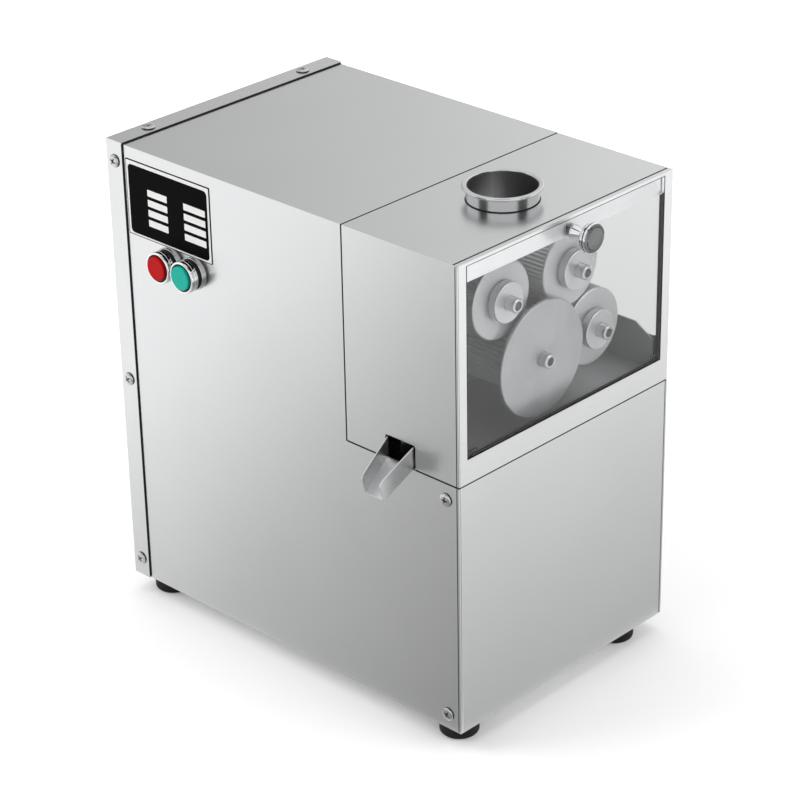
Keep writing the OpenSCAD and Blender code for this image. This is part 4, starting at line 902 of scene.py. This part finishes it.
def gradient(name, axis, start, end, tones, power=1.6):
    """A glow that runs through evenly spaced tones along an axis of the studio."""
    material = bpy.data.materials.new(name)
    material.use_nodes = True
    tree = material.node_tree
    tree.nodes.remove(tree.nodes["Principled BSDF"])
    along = tree.nodes.new("ShaderNodeVectorMath")
    along.operation = "DOT_PRODUCT"
    along.inputs[1].default_value = axis
    tree.links.new(own_space(tree), along.inputs[0])
    tint = tree.nodes.new("ShaderNodeValToRGB")
    stops = tint.color_ramp.elements
    while len(stops) < len(tones):
        stops.new(0.5)
    for k, tone in enumerate(tones):
        stops[k].position = k / (len(tones) - 1)
        grey = tone ** DISPLAY_GAMMA / SHEET_TONE / power
        stops[k].color = (grey, grey, grey, 1)
    tree.links.new(mapped(tree, along.outputs["Value"], start, end), tint.inputs["Fac"])
    glow = tree.nodes.new("ShaderNodeEmission")
    socket(glow, "Strength", power)
    tree.links.new(tint.outputs["Color"], glow.inputs["Color"])
    tree.links.new(glow.outputs["Emission"], tree.nodes["Material Output"].inputs["Surface"])
    return material


def card(name, corners, material):
    """A reflector that shows in polished metal only: it lights nothing and casts no shadow."""
    sheet = quad(name, corners, material)
    sheet.visible_camera = False
    sheet.visible_diffuse = False
    sheet.visible_transmission = False
    sheet.visible_shadow = False
    return sheet


def lying(low, high, z):
    """Corners of a level sheet between two places."""
    return [(low[0], low[1], z), (high[0], low[1], z), (high[0], high[1], z), (low[0], high[1], z)]


def upright(spot, width, height):
    """Corners of a card that stands at a spot and faces the object."""
    middle = Vector(spot)
    away = (middle - OBJECT_MIDDLE).normalized()
    side = away.cross(UP).normalized() * width / 2
    rise = side.cross(away).normalized() * height / 2
    return [middle - side - rise, middle + side - rise, middle + side + rise, middle - side + rise]


def build_reflectors():
    """Cards that shade the polished sheet: two on the floor, one above, and three dark flags."""
    slant = Vector((0.374, 0.927, 0.0))
    left = gradient("left_glow", slant, -0.25, 0.35, (0.52, 0.70, 0.93))
    card("left_card", lying((-1.8, -0.7), (-0.13, 2.2), CARD_Z), left)
    front = gradient("front_glow", FRONT, 0.20, 0.80, (0.66, 0.80, 0.95))
    card("front_card", lying((-0.1, -2.2), (2.0, -0.215), CARD_Z), front)
    across = Vector((0.689, -0.724, -0.017))
    above = gradient("top_glow", across, -1.0, 1.0, (0.55, 0.73, 0.92))
    card("top_card", upright((1.30, 1.24, 1.34), 2.6, 2.2), above)
    dark = gradient("flag_shade", UP, 0.0, 2.0, (0.20, 0.20))
    flag_size = 0.9
    flags = {"left": (-1.50, 0.44, 1.05), "front": (0.40, -1.55, 1.05), "camera": (-0.62, -0.66, 2.05)}
    for name, spot in flags.items():
        card(name + "_flag", upright(spot, flag_size, flag_size), dark)


def build_outlet_card():
    """A pale backdrop on the right that only shows through the window and the cane outlet."""
    x, front, rear, top = 0.5, -0.6, 0.9, 0.6
    pale = gradient("outlet_glow", UP, 0.05, 0.30, (0.72, 0.765))
    backdrop = card("outlet_card", [(x, front, 0.0), (x, rear, 0.0), (x, rear, top), (x, front, top)], pale)
    backdrop.visible_transmission = True
    backdrop.visible_glossy = False


def lamp(name, spot, target, size, power):
    """A soft lamp that lights the object but doesn't show in polished metal."""
    data = bpy.data.lights.new(name, "AREA")
    data.shape = "RECTANGLE"
    data.size, data.size_y = size
    data.energy = power
    light = bpy.data.objects.new(name, data)
    light.matrix_world = facing(Vector(spot) - Vector(target), Vector(spot))
    light.visible_glossy = False
    bpy.context.scene.collection.objects.link(light)


def seen_rays(tree):
    """One for rays that show a surface to the eye: straight, mirrored or through the window."""
    paths = tree.nodes.new("ShaderNodeLightPath")
    seen = paths.outputs["Is Camera Ray"]
    for ray in ("Is Glossy Ray", "Is Transmission Ray"):
        either = tree.nodes.new("ShaderNodeMath")
        either.operation = "MAXIMUM"
        tree.links.new(seen, either.inputs[0])
        tree.links.new(paths.outputs[ray], either.inputs[1])
        seen = either.outputs[0]
    return seen


def build_world():
    """White surroundings that look full white and light the object at less than half of that."""
    fill, shown = 0.45, 1.0
    world = bpy.data.worlds.new("studio")
    bpy.context.scene.world = world
    world.use_nodes = True
    tree = world.node_tree
    background = tree.nodes["Background"]
    socket(background, "Color", (1, 1, 1, 1))
    tree.links.new(mapped(tree, seen_rays(tree), 0.0, 1.0, fill, shown), background.inputs["Strength"])


def floor_paint():
    """White floor that keeps the shadow near the object and stays white as the lamps fall off."""
    near, far, near_glow, far_glow = 0.3, 3.5, 0.15, 0.85
    material = surface("floor_paint", (0.90, 0.90, 0.90), 0.8, grain=200.0, depth=0.0, mottle=0.004)
    tree = material.node_tree
    shader = tree.nodes["Principled BSDF"]
    socket(shader, "Emission Color", (1, 1, 1, 1))
    reach = tree.nodes.new("ShaderNodeVectorMath")
    reach.operation = "LENGTH"
    tree.links.new(own_space(tree), reach.inputs[0])
    glow = tree.nodes.new("ShaderNodeMath")
    glow.operation = "MULTIPLY"
    tree.links.new(mapped(tree, reach.outputs["Value"], near, far, near_glow, far_glow), glow.inputs[0])
    tree.links.new(seen_rays(tree), glow.inputs[1])
    tree.links.new(glow.outputs[0], shader.inputs["Emission Strength"])
    return material


def build_studio():
    build_world()
    build_reflectors()
    build_outlet_card()
    quad("floor", lying((-FLOOR_REACH, -FLOOR_REACH), (FLOOR_REACH, FLOOR_REACH), 0), floor_paint())
    lamp("key", (-1.4, 1.3, 1.7), (0, 0, 0.25), (1.4, 1.4), 26.0)
    lamp("front_fill", (0.9, -2.2, 1.5), (0, 0, 0.2), (1.6, 1.2), 22.0)
    lamp("top", (0.2, 0.2, 2.6), (0, 0, 0), (2.2, 2.2), 30.0)


# Camera, as fitted to the cabinet's edges in the photograph

CAMERA_SPOT = Vector((-1.513385, -1.489918, 1.290419))
CAMERA_RIGHT = Vector((0.68941352, -0.72416371, -0.01720234))
CAMERA_AHEAD = Vector((0.64073409, 0.62072092, -0.45184662))
SENSOR_W = 36.0
LENS = 124.553


def build_camera():
    data = bpy.data.cameras.new("camera")
    data.sensor_width = SENSOR_W
    data.lens = LENS
    data.clip_start = 0.05
    data.clip_end = 50.0
    camera = bpy.data.objects.new("camera", data)
    up = CAMERA_RIGHT.cross(CAMERA_AHEAD)
    turn = Matrix((CAMERA_RIGHT, up, -CAMERA_AHEAD)).transposed().to_4x4()
    camera.matrix_world = Matrix.Translation(CAMERA_SPOT) @ turn
    bpy.context.scene.collection.objects.link(camera)
    bpy.context.scene.camera = camera


build_studio()
build_camera()
bpy.context.scene.view_settings.view_transform = "Standard"
